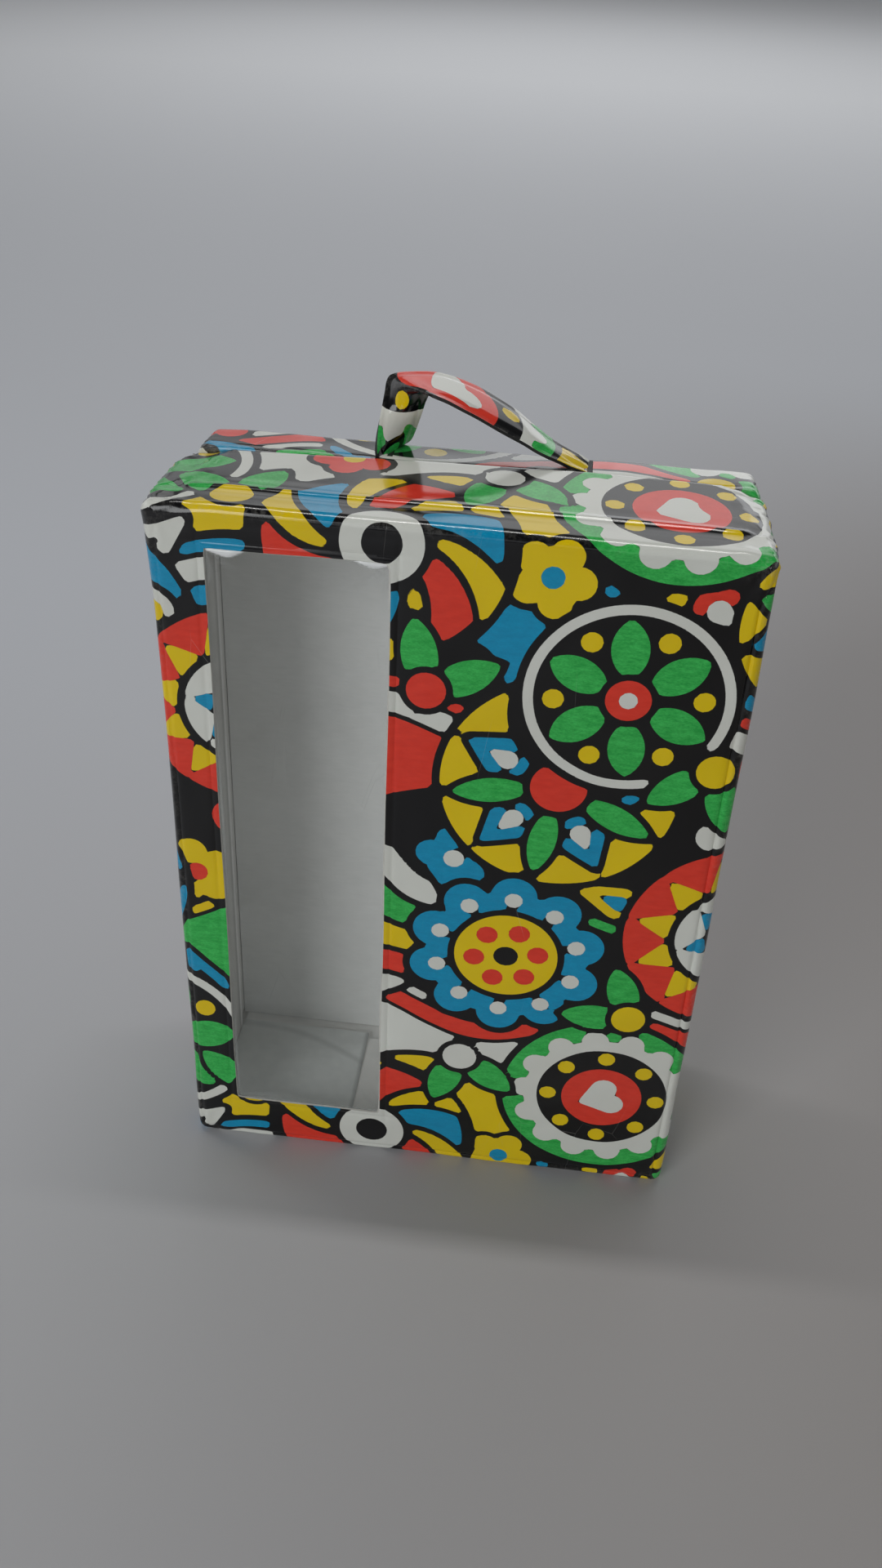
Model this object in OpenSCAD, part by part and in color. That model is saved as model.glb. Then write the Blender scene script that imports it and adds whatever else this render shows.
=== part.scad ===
// Upright vinyl-covered board carrying case with a tall clear window, a deep
// front case, a shallow back door hinged on a vinyl spine, and a strap handle.
// Millimetres, +Z up, +X to the right of the front face, front face at -Y.
// The origin is on the resting plane, at the middle of the whole case.

/* [Case] */
// Outside width of the front case
case_w = 216; // [200:1:232]
// Outside height of the front case
case_h = 312; // [296:1:328]
// Outside depth of the closed case
case_d = 84; // [80:1:92]
// Depth of the front case, from its face to the parting line
front_d = 59; // [56:1:62]
// How far the back door sits inside the front case on every side
door_inset = 2; // [1.8:0.1:2.4]
// Radius of the folded edges
edge_r = 4; // [3.8:0.1:5]

/* [Sheets and boards] */
// Thickness of the printed vinyl
skin_t = 0.45; // [0.4:0.05:0.5]
// Thickness of the front panel board
panel_t = 2.6; // [2:0.1:3]
// Thickness of the front case's side boards, two plies glued
wall_t = 4; // [3.8:0.1:4.2]
// Thickness of the back door's side boards
door_wall_t = 1.3; // [1:0.1:1.4]
// Thickness of the back door's panel board
door_panel_t = 2.4; // [2:0.1:3]
// Thickness of the inner collar cards
card_t = 1.3; // [1:0.1:1.6]
// How far the collar reaches past the parting line into the door
collar_lap = 7; // [4:0.5:9]

/* [Window] */
// Width of the opening
win_w = 65.8; // [50:0.1:80]
// Height of the opening
win_h = 271.8; // [220:0.1:274]
// Middle of the opening across the face
win_x = -55.4; // [-62:0.1:-48]
// Middle of the opening above the base
win_z = 161.5; // [158:0.1:163]
// Thickness of the clear sheet
sheet_t = 0.4; // [0.3:0.05:0.6]
// Weld margin of the clear sheet around the opening
sheet_lap = 6; // [4:0.5:7]

/* [Inside] */
// Middle of the partition across the case
part_x = -17.4; // [-20:0.1:10]
// Thickness of the partition
part_t = 1.4; // [1:0.1:2]
// Right edge of the floor card
floor_edge_x = -38; // [-60:1:-24]
// Gap between the door's lining card and its back board
liner_gap = 3.2; // [2.5:0.1:4]

/* [Handle] */
// Width of the strap
strap_w = 22; // [18:0.5:22]
// Thickness of the strap
strap_t = 1.8; // [1.4:0.1:2]
// Height of the strap's top above the case
strap_rise = 32; // [29:0.5:36]

/* [Closure] */
// Height of the closure's middle above the base
tab_z = 162; // [100:1:220]
// Height of the tab
tab_h = 24; // [20:1:30]

/* [Hidden] */
$fn = 64;
yf = -case_d/2;              // front face
yb = case_d/2;               // back face
yp = yf + front_d;           // parting line
door_gap = 0.4;              // gap at the parting line
yd = yp + door_gap;          // front edge of the door
hw = case_w/2;               // half width, front case
dw = hw - door_inset;        // half width, door
zt = case_h;                 // top of the front case
dz0 = door_inset;            // bottom of the door
dz1 = zt - door_inset;       // top of the door
wall_in = hw - skin_t - wall_t;          // inner face of the front side boards
zin0 = skin_t + wall_t;                  // inner face of the front bottom board
zin1 = zt - skin_t - wall_t;             // inner face of the front top board
door_in = dw - skin_t - door_wall_t;     // inner face of the door side boards
dzin0 = dz0 + skin_t + door_wall_t;
dzin1 = dz1 - skin_t - door_wall_t;
fold = edge_r - skin_t;                  // boards stop short of each fold by this
win_x0 = win_x - win_w/2;
win_x1 = win_x + win_w/2;
win_z0 = win_z - win_h/2;
win_z1 = win_z + win_h/2;
axis_x = -hw - 1.7;                      // spine hinge axis
bead_r = 1.18;
spine_z0 = 12;
spine_z1 = case_h - 12;
strap_y = (yd + yb)/2 + 0.3;             // middle of the strap
strap_y0 = strap_y - strap_w/2;
// Strap centre line, from the left slot over the folds to the right slot
hx0 = -33;
hx1 = -28.5;
hx2 = -13;
hx3 = 42.5;
hz_base = dz1;
hz1 = dz1 + strap_rise - 3.4;
hz2 = dz1 + strap_rise - strap_t/2;
hinge_z = dz1 + 0.5;                     // height of the handle's fold axis
taper_h = 8.6;                           // full width above the fold axis from here up
tab_root_y = yd + 2.6;                   // closure fold line
tab_out = hw + 0.2;                      // inner face of the tab over the case

// Box given by its two corners
module box(a, b) {
    translate(a) cube([b[0] - a[0], b[1] - a[1], b[2] - a[2]]);
}

// Rectangle from p to q whose corners have radius r where the flags say so,
// in the order low-low, high-low, high-high, low-high
module round_rect(p, q, r, c = [1, 1, 1, 1]) {
    difference() {
        translate(p) square([q[0] - p[0], q[1] - p[1]]);
        if (c[0] == 1) corner_cut(p[0], p[1], r, 1, 1);
        if (c[1] == 1) corner_cut(q[0], p[1], r, -1, 1);
        if (c[2] == 1) corner_cut(q[0], q[1], r, -1, -1);
        if (c[3] == 1) corner_cut(p[0], q[1], r, 1, -1);
    }
}
module corner_cut(x, y, r, sx, sy) {
    difference() {
        translate([sx > 0 ? x - 1 : x - r, sy > 0 ? y - 1 : y - r]) square(r + 1);
        translate([x + sx*r, y + sy*r]) circle(r);
    }
}

// Block with folded edges: all four long edges round, and those of the face
// at low Y (front = 1) or high Y (front = 0)
module folded_block(x, y0, y1, z0, z1, r, front = 1) {
    ff = front == 1 ? [1, 0, 0, 1] : [0, 1, 1, 0];
    intersection() {
        translate([0, y1, 0]) rotate([90, 0, 0])
            linear_extrude(y1 - y0) round_rect([-x, z0], [x, z1], r);
        rotate([90, 0, 90]) translate([0, 0, -x - 1])
            linear_extrude(2*x + 2) round_rect([y0, z0], [y1, z1], r, ff);
        translate([0, 0, z0 - 1])
            linear_extrude(z1 - z0 + 2) round_rect([-x, y0], [x, y1], r,
                front == 1 ? [1, 1, 0, 0] : [0, 0, 1, 1]);
    }
}

// Printed vinyl over the front, sides, top and bottom, turned over the rim
module front_skin() {
    color("crimson") difference() {
        folded_block(hw, yf, yp, 0, zt, edge_r, 1);
        folded_block(hw - skin_t, yf + skin_t, yp - skin_t, skin_t, zt - skin_t, fold, 1);
        box([-wall_in, yp - 1, zin0], [wall_in, yp + 1, zin1]);
        box([win_x0, yf - 1, win_z0], [win_x1, yf + 2, win_z1]);
    }
}

module front_panel_board() {
    color("tan") difference() {
        box([-hw + edge_r, yf + skin_t, edge_r], [hw - edge_r, yf + skin_t + panel_t, zt - edge_r]);
        box([win_x0 - sheet_lap - 1, yf - 1, win_z0 - sheet_lap - 1],
            [win_x1 + sheet_lap + 1, yf + 9, win_z1 + sheet_lap + 1]);
    }
}

module front_top_board() {
    color("tan") box([-hw + edge_r, yf + edge_r, zin1], [hw - edge_r, yp - skin_t, zt - skin_t]);
}
module front_bottom_board() {
    color("tan") box([-hw + edge_r, yf + edge_r, skin_t], [hw - edge_r, yp - skin_t, zin0]);
}
// The side boards stand between the top and bottom boards
module front_side_board(s) {
    x0 = wall_in;
    x1 = hw - skin_t;
    color("tan") box([s > 0 ? x0 : -x1, yf + edge_r, zin0 + 0.05],
        [s > 0 ? x1 : -x0, yp - skin_t, zin1 - 0.05]);
}
module front_left_board() { front_side_board(-1); }
module front_right_board() { front_side_board(1); }

// Clear sheet welded to the back of the printed vinyl around the opening
module window_sheet() {
    color([0.85, 0.9, 0.92, 0.35])
        box([win_x0 - sheet_lap, yf + skin_t, win_z0 - sheet_lap],
            [win_x1 + sheet_lap, yf + skin_t + sheet_t, win_z1 + sheet_lap]);
}

// Pale lining sheet behind the front panel, cut out at the window
module front_liner() {
    y0 = yf + skin_t + panel_t;
    color("gainsboro") difference() {
        box([-wall_in + card_t + 0.1, y0, zin0 + card_t + 0.1],
            [wall_in - card_t - 0.1, y0 + 0.5, zin1 - card_t - 0.1]);
        box([win_x0 - 3.5, y0 - 1, win_z0 - 3.5], [win_x1 + 3.5, y0 + 2, win_z1 + 3.5]);
    }
}

// Inner collar: four cards that line the sides and reach into the door
collar_y0 = yf + skin_t + panel_t;
collar_y1 = yp + collar_lap;
module collar_top() {
    color("gainsboro") box([-wall_in, collar_y0, zin1 - card_t], [wall_in, collar_y1, zin1]);
}
module collar_bottom() {
    color("gainsboro") box([-wall_in, collar_y0, zin0], [wall_in, collar_y1, zin0 + card_t]);
}
module collar_side(s) {
    x0 = wall_in - card_t;
    color("gainsboro") box([s > 0 ? x0 : -wall_in, collar_y0, zin0 + card_t],
        [s > 0 ? wall_in : -x0, collar_y1, zin1 - card_t]);
}
module collar_left() { collar_side(-1); }
module collar_right() { collar_side(1); }

// Upright card between the doll side and the clothes side, with glued feet
module compartment_partition() {
    z0 = zin0 + card_t;
    z1 = zin1 - card_t;
    y0 = collar_y0 + 0.55;
    color("gainsboro") {
        box([part_x - part_t/2, y0, z0], [part_x + part_t/2, collar_y1 - 1, z1]);
        box([part_x, y0 + 2, z0], [part_x + 12, collar_y1 - 3, z0 + 0.8]);
        box([part_x, y0 + 2, z1 - 0.8], [part_x + 12, collar_y1 - 3, z1]);
    }
}

// Card on the floor of the doll side, back to just past the collar
module floor_card() {
    z0 = zin0 + card_t;
    color("silver") box([-wall_in + card_t + 0.3, collar_y0 + 0.8, z0],
        [floor_edge_x, collar_y1 + 3.2, z0 + 0.7]);
}

// Front half of the vinyl spine: a leaf on the left side that ends in a bead
module spine_front_leaf() {
    color("crimson") {
        box([-hw - 0.6, yp - 14, spine_z0], [-hw, yp + 0.2, spine_z1]);
        translate([axis_x, yp, spine_z0]) cylinder(r = bead_r, h = spine_z1 - spine_z0);
    }
}

// Stud half of the press fastener on the right side
module snap_stud() {
    color("silver") translate([hw, yp - 16, tab_z]) rotate([0, 90, 0])
        cylinder(r = 4.6, h = 0.15);
}

// Printed vinyl over the door, turned over its rim, with two slots for the strap
module door_skin() {
    color("royalblue") difference() {
        folded_block(dw, yd, yb, dz0, dz1, edge_r, 0);
        folded_block(dw - skin_t, yd + skin_t, yb - skin_t, dz0 + skin_t, dz1 - skin_t, fold, 0);
        box([-door_in, yd - 1, dzin0], [door_in, yd + 1, dzin1]);
        strap_slots();
    }
}
// Cut for each end of the strap
module strap_slots() {
    for (x = [hx0, hx3])
        box([x - strap_t/2 - 0.2, strap_y0 + 4.5, dz1 - 5], [x + strap_t/2 + 0.2, strap_y0 + strap_w - 3.5, dz1 + 1]);
}

module door_back_board() {
    color("tan") box([-dw + edge_r, yb - skin_t - door_panel_t, dz0 + edge_r],
        [dw - edge_r, yb - skin_t, dz1 - edge_r]);
}
module door_top_board() {
    color("tan") difference() {
        box([-dw + edge_r, yd + skin_t, dzin1], [dw - edge_r, yb - edge_r, dz1 - skin_t]);
        strap_slots();
    }
}
module door_bottom_board() {
    color("tan") box([-dw + edge_r, yd + skin_t, dz0 + skin_t], [dw - edge_r, yb - edge_r, dzin0]);
}
module door_side_board(s) {
    x1 = dw - skin_t;
    color("tan") box([s > 0 ? door_in : -x1, yd + skin_t, dz0 + edge_r],
        [s > 0 ? x1 : -door_in, yb - edge_r, dz1 - edge_r]);
}
module door_left_board() { door_side_board(-1); }
module door_right_board() { door_side_board(1); }

// Lining card of the door, folded at its edges so it stands off the back board
module door_liner() {
    y1 = yb - skin_t - door_panel_t;
    y0 = y1 - liner_gap - 1;
    x = door_in - 0.4;
    z0 = dzin0 + 0.4;
    z1 = dzin1 - 2.4;
    color("gainsboro") difference() {
        box([-x, y0, z0], [x, y1, z1]);
        box([-x + 1, y0 + 1, z0 + 1], [x - 1, y1 + 1, z1 - 1]);
    }
}

// Door half of the spine: a leaf on the door's left side with a turned flange
module spine_door_leaf() {
    color("crimson") {
        box([-dw - 0.45, yd, spine_z0], [-dw, yd + 14, spine_z1]);
        box([axis_x + bead_r + 0.06, yp + 0.22, spine_z0], [-dw - 0.2, yd + 0.3, spine_z1]);
    }
}

// Ends of the strap: each passes through its slot and turns along the board inside
module strap_end(x, s) {
    y0 = strap_y0 + 5;
    y1 = strap_y0 + strap_w - 4;
    color("gold") {
        box([x - strap_t/2, y0, dzin1 - 1.2], [x + strap_t/2, y1, dz1 + 0.5]);
        box([s > 0 ? x - strap_t/2 : x - 13, y0, dzin1 - 1.2], [s > 0 ? x + 13 : x + strap_t/2, y1, dzin1]);
    }
}
module strap_end_left() { strap_end(hx0, -1); }
module strap_end_right() { strap_end(hx3, 1); }

// Wire staples that hold the strap ends to the top board, two at each end
module handle_staples() {
    for (x = [hx0 - 8, hx3 + 8]) for (dx = [-2.5, 2.5])
        translate([x + dx, strap_y + 0.5, 0]) color("silver") {
            translate([0, 4, dzin1 - 1.2 - 0.35]) rotate([90, 0, 0]) cylinder(r = 0.35, h = 8);
            for (y = [-3.65, 3.65])
                translate([0, y, dzin1 - 1.4]) cylinder(r = 0.35, h = 2.5);
        }
}

// Root of the closure, welded and riveted to the door's right side
module closure_root() {
    color("gold") difference() {
        box([dw, tab_root_y + 0.6, tab_z - tab_h/2], [dw + 1, tab_root_y + 13, tab_z + tab_h/2]);
        translate([dw - 1, tab_root_y + 7, tab_z]) rotate([0, 90, 0]) cylinder(r = 1.6, h = 4);
    }
}
// Tubular rivet through the root
module closure_rivet() {
    color("silver") translate([dw, tab_root_y + 7, tab_z]) rotate([0, 90, 0]) {
        cylinder(r = 1.55, h = 1.1);
        translate([0, 0, 1.02]) cylinder(r = 3.4, h = 0.5);
    }
}

// Strap handle: left leg, short top and long slope, one flat strap whose ends
// narrow towards the fold where it leaves the case, so that it can lean
module handle_strap() {
    t = strap_t/2;
    sl = (hz2 - hz_base)/(hx3 - hx2);
    v = t*sqrt(1 + sl*sl);
    ld = (hx1 - hx0)/(hz1 - hz_base);
    color("gold") intersection() {
        translate([0, strap_y + strap_w/2, 0]) rotate([90, 0, 0]) linear_extrude(strap_w)
            polygon([[hx0 - t, hz_base], [hx1 - t, hz1 + t*0.8], [hx2, hz2 + t], [hx2 + 2, hz2 + t - 0.6],
                [hx3 + v/sl, hz_base], [hx3 - v/sl, hz_base],
                [hx2 + 0.5, hz2 - t - 0.2], [hx1 + t, hz1 - t], [hx0 + t, hz_base]]);
        translate([-case_w/2, strap_y, hinge_z]) rotate([90, 0, 90]) linear_extrude(case_w)
            polygon([[-0.7, 0.5], [0.7, 0.5], [strap_w/2, taper_h], [strap_w/2, 60],
                [-strap_w/2, 60], [-strap_w/2, taper_h]]);
    }
}

// Closure tab from its fold line forward over the right side
module closure_tab() {
    color("gold") difference() {
        union() {
            box([tab_out, yp - 17, tab_z - tab_h/2], [tab_out + 1, tab_root_y - 0.3, tab_z + tab_h/2]);
            translate([tab_out, yp - 17, tab_z]) rotate([0, 90, 0]) cylinder(r = tab_h/2, h = 1);
        }
        translate([tab_out - 1, yp - 16, tab_z]) rotate([0, 90, 0]) cylinder(r = 2.4, h = 4);
    }
}
// Cap half of the press fastener, domed, clinched through the tab
module snap_cap() {
    color("silver") translate([tab_out, yp - 16, tab_z]) rotate([0, 90, 0]) {
        translate([0, 0, 0.15]) cylinder(r = 2.35, h = 1);
        translate([0, 0, 1.02]) cylinder(r = 6, h = 0.5);
        translate([0, 0, 1.5]) intersection() {
            translate([0, 0, 1.18 - 15.2]) sphere(r = 15.2);
            cylinder(r = 5.9, h = 2);
        }
    }
}

front_skin();
front_panel_board();
front_top_board();
front_bottom_board();
front_left_board();
front_right_board();
window_sheet();
front_liner();
collar_top();
collar_bottom();
collar_left();
collar_right();
compartment_partition();
floor_card();
spine_front_leaf();
snap_stud();
door_skin();
door_back_board();
door_top_board();
door_bottom_board();
door_left_board();
door_right_board();
door_liner();
spine_door_leaf();
strap_end_left();
strap_end_right();
handle_staples();
closure_root();
closure_rivet();
handle_strap();
closure_tab();
snap_cap();
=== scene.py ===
import math

import bpy
import numpy as np
from mathutils import Matrix


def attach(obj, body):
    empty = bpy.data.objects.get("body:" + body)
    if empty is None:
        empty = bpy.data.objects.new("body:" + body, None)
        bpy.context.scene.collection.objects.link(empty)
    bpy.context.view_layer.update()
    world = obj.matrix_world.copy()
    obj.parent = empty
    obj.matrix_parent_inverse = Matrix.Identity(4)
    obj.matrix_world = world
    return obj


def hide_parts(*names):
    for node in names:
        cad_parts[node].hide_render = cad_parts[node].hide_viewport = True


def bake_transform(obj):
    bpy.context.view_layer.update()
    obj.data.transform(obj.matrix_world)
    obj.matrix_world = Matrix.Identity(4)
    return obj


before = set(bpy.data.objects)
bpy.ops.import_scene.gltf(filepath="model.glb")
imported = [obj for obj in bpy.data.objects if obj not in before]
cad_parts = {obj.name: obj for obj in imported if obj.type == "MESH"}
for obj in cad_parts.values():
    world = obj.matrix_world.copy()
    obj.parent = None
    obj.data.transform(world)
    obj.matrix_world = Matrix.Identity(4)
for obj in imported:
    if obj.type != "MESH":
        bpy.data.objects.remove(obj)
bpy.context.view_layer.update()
MM = 0.001

# ---------------------------------------------------------------- dimensions, mm, as in the CAD
HW, ZT = 108.0, 312.0
YF, YP, YD, YB = -42.0, 17.0, 17.4, 42.0
DW, DZ0, DZ1 = 106.0, 2.0, 310.0
R = 4.0
SKIN = 0.45
WX0, WX1, WZ0, WZ1 = -88.3, -22.5, 25.6, 297.4
STRAP_X0, STRAP_X1, STRAP_Y = -33.0, 42.5, 30.0

# ---------------------------------------------------------------- small maths helpers


def smooth(t):
    t = np.clip(t, 0.0, 1.0)
    return t * t * (3 - 2 * t)


def gauss(d, w):
    return np.exp(-((d / w) ** 2))


def ripple(a, b, seed, wave, n=7):
    """Even, repeatable unevenness of about -1 to 1, whose waves are near `wave` mm long."""
    rng = np.random.default_rng(seed)
    out = 0.0 * a * b
    for _ in range(n):
        t, ph = rng.uniform(0, 2 * math.pi, 2)
        k = 2 * math.pi / (wave * rng.uniform(0.7, 1.7))
        out = out + np.sin(k * (a * math.cos(t) + b * math.sin(t)) + ph)
    return out / math.sqrt(n * 1.6)


def spread(breaks, step):
    """Lines from the first break to the last, through every break, no further apart than step."""
    out = [breaks[0]]
    for i, (a, b) in enumerate(zip(breaks, breaks[1:])):
        s = step[i] if isinstance(step, (list, tuple)) else step
        n = max(1, math.ceil((b - a) / s - 1e-6))
        out += [a + (b - a) * (k + 1) / n for k in range(n)]
    return out


# ---------------------------------------------------------------- the print
# A generic design of discs over waved bands. It repeats every TILE_U by TILE_V mm. Each of the
# five colours is a signed distance field, and what no colour covers is black.
TILE_U, TILE_V = 268.0, 246.0
INKS = ("red", "yellow", "green", "blue", "white")


class Print:
    def __init__(self, u, v):
        self.u, self.v = np.asarray(u, float), np.asarray(v, float)
        self.f = {c: np.full(self.u.shape, 50.0) for c in INKS}
        self.clip = None

    def at(self, cu, cv, turn=0.0):
        x = (self.u - cu + TILE_U / 2) % TILE_U - TILE_U / 2
        y = (self.v - cv + TILE_V / 2) % TILE_V - TILE_V / 2
        c, s = math.cos(turn), math.sin(turn)
        return x * c + y * s, -x * s + y * c

    def lay(self, s, ink=None, line=0.0):
        """Lays shape s over what is there, first with a black line of that width round it."""
        if self.clip is not None:
            s = np.maximum(s, self.clip)
        if line:
            o = s - line
            if self.clip is not None:
                o = np.maximum(o, self.clip)
            for c in INKS:
                self.f[c] = np.maximum(self.f[c], -o)
        for c in INKS:
            self.f[c] = np.maximum(self.f[c], -s)
        if ink:
            self.f[ink] = np.minimum(self.f[ink], s)


def disc(x, y, r):
    return np.hypot(x, y) - r


def fold(x, y, n, turn=0.0):
    """Turns the plane into one of n equal sectors, whose middle is +X."""
    a = np.arctan2(y, x) - turn
    k = 2 * math.pi / n
    a = (a + k / 2) % k - k / 2
    r = np.hypot(x, y)
    return r * np.cos(a), r * np.sin(a)


def drop(x, y, x0, x1, r0, r1):
    """Teardrop along X, of radius r0 at x0 and r1 at x1."""
    if x1 < x0:
        x, x0, x1 = -x, -x0, -x1
    h = x1 - x0
    p, q = np.abs(y), x - x0
    b = (r0 - r1) / h
    a = math.sqrt(max(1e-6, 1 - b * b))
    k = -b * p + a * q
    return np.where(k < 0, np.hypot(p, q) - r0, np.where(k > a * h, np.hypot(p, q - h) - r1, a * p + b * q - r0))


def leaf(x, y, x0, x1, w):
    """Leaf pointed at x0 and x1 and w wide."""
    h = (x1 - x0) / 2
    r = (h * h + w * w / 4) / w
    m = (x0 + x1) / 2
    return np.maximum(np.hypot(x - m, y - (r - w / 2)) - r, np.hypot(x - m, y + (r - w / 2)) - r)


def star(x, y, n, ro, ri, turn=0.0):
    """Star of n rays, ro out to their tips and ri to the dips between them."""
    fx, fy = fold(x, y, n, turn)
    t = math.pi / n
    ex, ey = ri * math.cos(t) - ro, ri * math.sin(t)
    k = math.hypot(ex, ey)
    return ((fx - ro) * ey - np.abs(fy) * ex) / k


def heart(x, y, w):
    """Heart of half width w, its point towards -X."""
    q = np.abs(y)
    c, s = math.cos(0.742), math.sin(0.742)
    lobes = np.hypot(x - 0.25 * w, q - 0.46 * w) - 0.54 * w
    flank = q * c - (x + 1.05 * w) * s
    wedge = np.maximum(np.maximum(flank, (x + 0.115 * w) * c + (q - 0.858 * w) * s), x - 0.45 * w)
    return np.minimum(lobes, wedge)


def d_sunburst(p, cu, cv, r, turn):
    x, y = p.at(cu, cv, turn)
    p.lay(disc(x, y, r), "red", 2.6)
    p.lay(star(x, y, 11, r * 0.94, r * 0.60), "yellow")
    p.lay(disc(x, y, r * 0.53), "white", 2.4)
    p.lay(star(x, y, 6, r * 0.48, r * 0.26, 0.2), "blue")
    p.lay(disc(x, y, r * 0.19), "yellow", 2.4)


def d_petals(p, cu, cv, r, turn):
    x, y = p.at(cu, cv, turn)
    p.lay(disc(x, y, r), "blue", 2.6)
    fx, fy = fold(x, y, 7)
    p.lay(drop(fx, fy, r * 0.66, r * 0.20, r * 0.21, r * 0.04), "white", 2.4)
    p.lay(drop(fx, fy, r * 0.68, r * 0.40, r * 0.095, r * 0.02), "yellow")
    p.lay(disc(x, y, r * 0.25), "red", 2.4)


def d_rings(p, cu, cv, r, turn):
    x, y = p.at(cu, cv, turn)
    p.lay(disc(x, y, r), "green", 2.6)
    fx, fy = fold(x, y, 14)
    p.lay(np.minimum(disc(x, y, r * 0.78), disc(fx - r * 0.78, fy, r * 0.13)), "white")
    p.lay(disc(x, y, r * 0.65), None)
    fx, fy = fold(x, y, 8, math.pi / 8)
    p.lay(disc(fx - r * 0.54, fy, r * 0.085), "yellow")
    p.lay(disc(x, y, r * 0.40), "red")
    p.lay(heart(x, y, r * 0.24), "white")


def d_scallop(p, cu, cv, r, turn):
    x, y = p.at(cu, cv, turn)
    fx, fy = fold(x, y, 10)
    p.lay(np.minimum(disc(x, y, r * 0.90), disc(fx - r * 0.86, fy, r * 0.25)), "blue", 2.6)
    p.lay(disc(fx - r * 0.80, fy, r * 0.10), "white")
    p.lay(disc(x, y, r * 0.58), "yellow", 2.4)
    fx, fy = fold(x, y, 6, 0.3)
    p.lay(disc(fx - r * 0.36, fy, r * 0.12), "red")
    p.lay(disc(x, y, r * 0.14), None)


def d_wheel(p, cu, cv, r, turn, inks=("red", "blue")):
    x, y = p.at(cu, cv, turn)
    rr = np.hypot(x, y)
    p.lay(disc(x, y, r), "yellow", 2.6)
    n = 6
    for k, ink in enumerate(inks):
        a = np.arctan2(y, x) + 1.0 * (rr / r) - k * math.pi / n * 2
        w = 4 * math.pi / n
        m = (a + w / 2) % w - w / 2
        blade = np.maximum((np.abs(m) - w * 0.125) * rr * 0.74, rr - r * 0.93)
        p.lay(blade, ink, 2.0)
    p.lay(disc(x, y, r * 0.33), "white", 2.6)
    p.lay(disc(x, y, r * 0.16), None)


def d_foliage(p, cu, cv, r, turn):
    x, y = p.at(cu, cv, turn)
    p.lay(disc(x, y, r), "white", 2.6)
    p.lay(disc(x, y, r * 0.90), None)
    fx, fy = fold(x, y, 6)
    p.lay(leaf(fx, fy, r * 0.22, r * 0.86, r * 0.36), "green")
    fx, fy = fold(x, y, 6, math.pi / 6)
    p.lay(disc(fx - r * 0.71, fy, r * 0.105), "yellow")
    p.lay(disc(x, y, r * 0.22), "red", 2.2)
    p.lay(disc(x, y, r * 0.09), "white")


def d_stripes(p, cu, cv, r, turn):
    x, y = p.at(cu, cv, turn)
    p.lay(disc(x, y, r), "white", 2.6)
    p.clip = disc(x, y, r)
    yy = y + 3.4 * np.sin(x * 2 * math.pi / (r * 1.35))
    for k, ink in enumerate(("blue", "white", "red", "yellow", "green", "white")):
        c = (k - 2.5) * r * 0.34
        p.lay(np.abs(yy - c) - (r * 0.17 - 1.3), ink, 1.4)
    p.clip = None


def d_tulips(p, cu, cv, r, turn):
    x, y = p.at(cu, cv, turn)
    p.lay(disc(x, y, r), "yellow", 2.6)
    fx, fy = fold(x, y, 5)
    p.lay(drop(fx, fy, r * 0.52, r * 0.86, r * 0.20, r * 0.02), "blue", 2.2)
    p.lay(drop(fx, fy, r * 0.50, r * 0.66, r * 0.09, r * 0.02), "white")
    fx, fy = fold(x, y, 5, math.pi / 5)
    p.lay(leaf(fx, fy, r * 0.20, r * 0.92, r * 0.24), "green", 2.2)
    p.lay(disc(x, y, r * 0.24), "red", 2.4)


def s_blossom(p, cu, cv, r, turn, ink, eye, n=5):
    x, y = p.at(cu, cv, turn)
    fx, fy = fold(x, y, n)
    p.lay(np.minimum(disc(fx - r * 0.60, fy, r * 0.40), disc(x, y, r * 0.5)), ink, 2.2)
    p.lay(disc(x, y, r * 0.27), eye)


def s_drop(p, cu, cv, r, turn, ink, eye=None):
    x, y = p.at(cu, cv, turn)
    p.lay(drop(x, y, -r * 0.45, r * 0.85, r * 0.52, r * 0.06), ink, 2.2)
    if eye:
        p.lay(drop(x, y, -r * 0.45, r * 0.10, r * 0.24, r * 0.05), eye)


def s_sprig(p, cu, cv, r, turn, ink, bud):
    x, y = p.at(cu, cv, turn)
    for s in (-1, 1):
        c, n = math.cos(0.62 * s), math.sin(0.62 * s)
        p.lay(leaf(x * c + y * n, -x * n + y * c, r * 0.02, r * 1.0, r * 0.44), ink, 2.2)
    p.lay(disc(x - r * 0.04, y, r * 0.24), bud, 2.2)


SCALE = 1.18          # real size of the print, against the tile's own units
SHIFT_U, SHIFT_V = 150.0, 34.0


CELL = 0.4            # spacing of the raster the tile's fields are kept on


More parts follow.
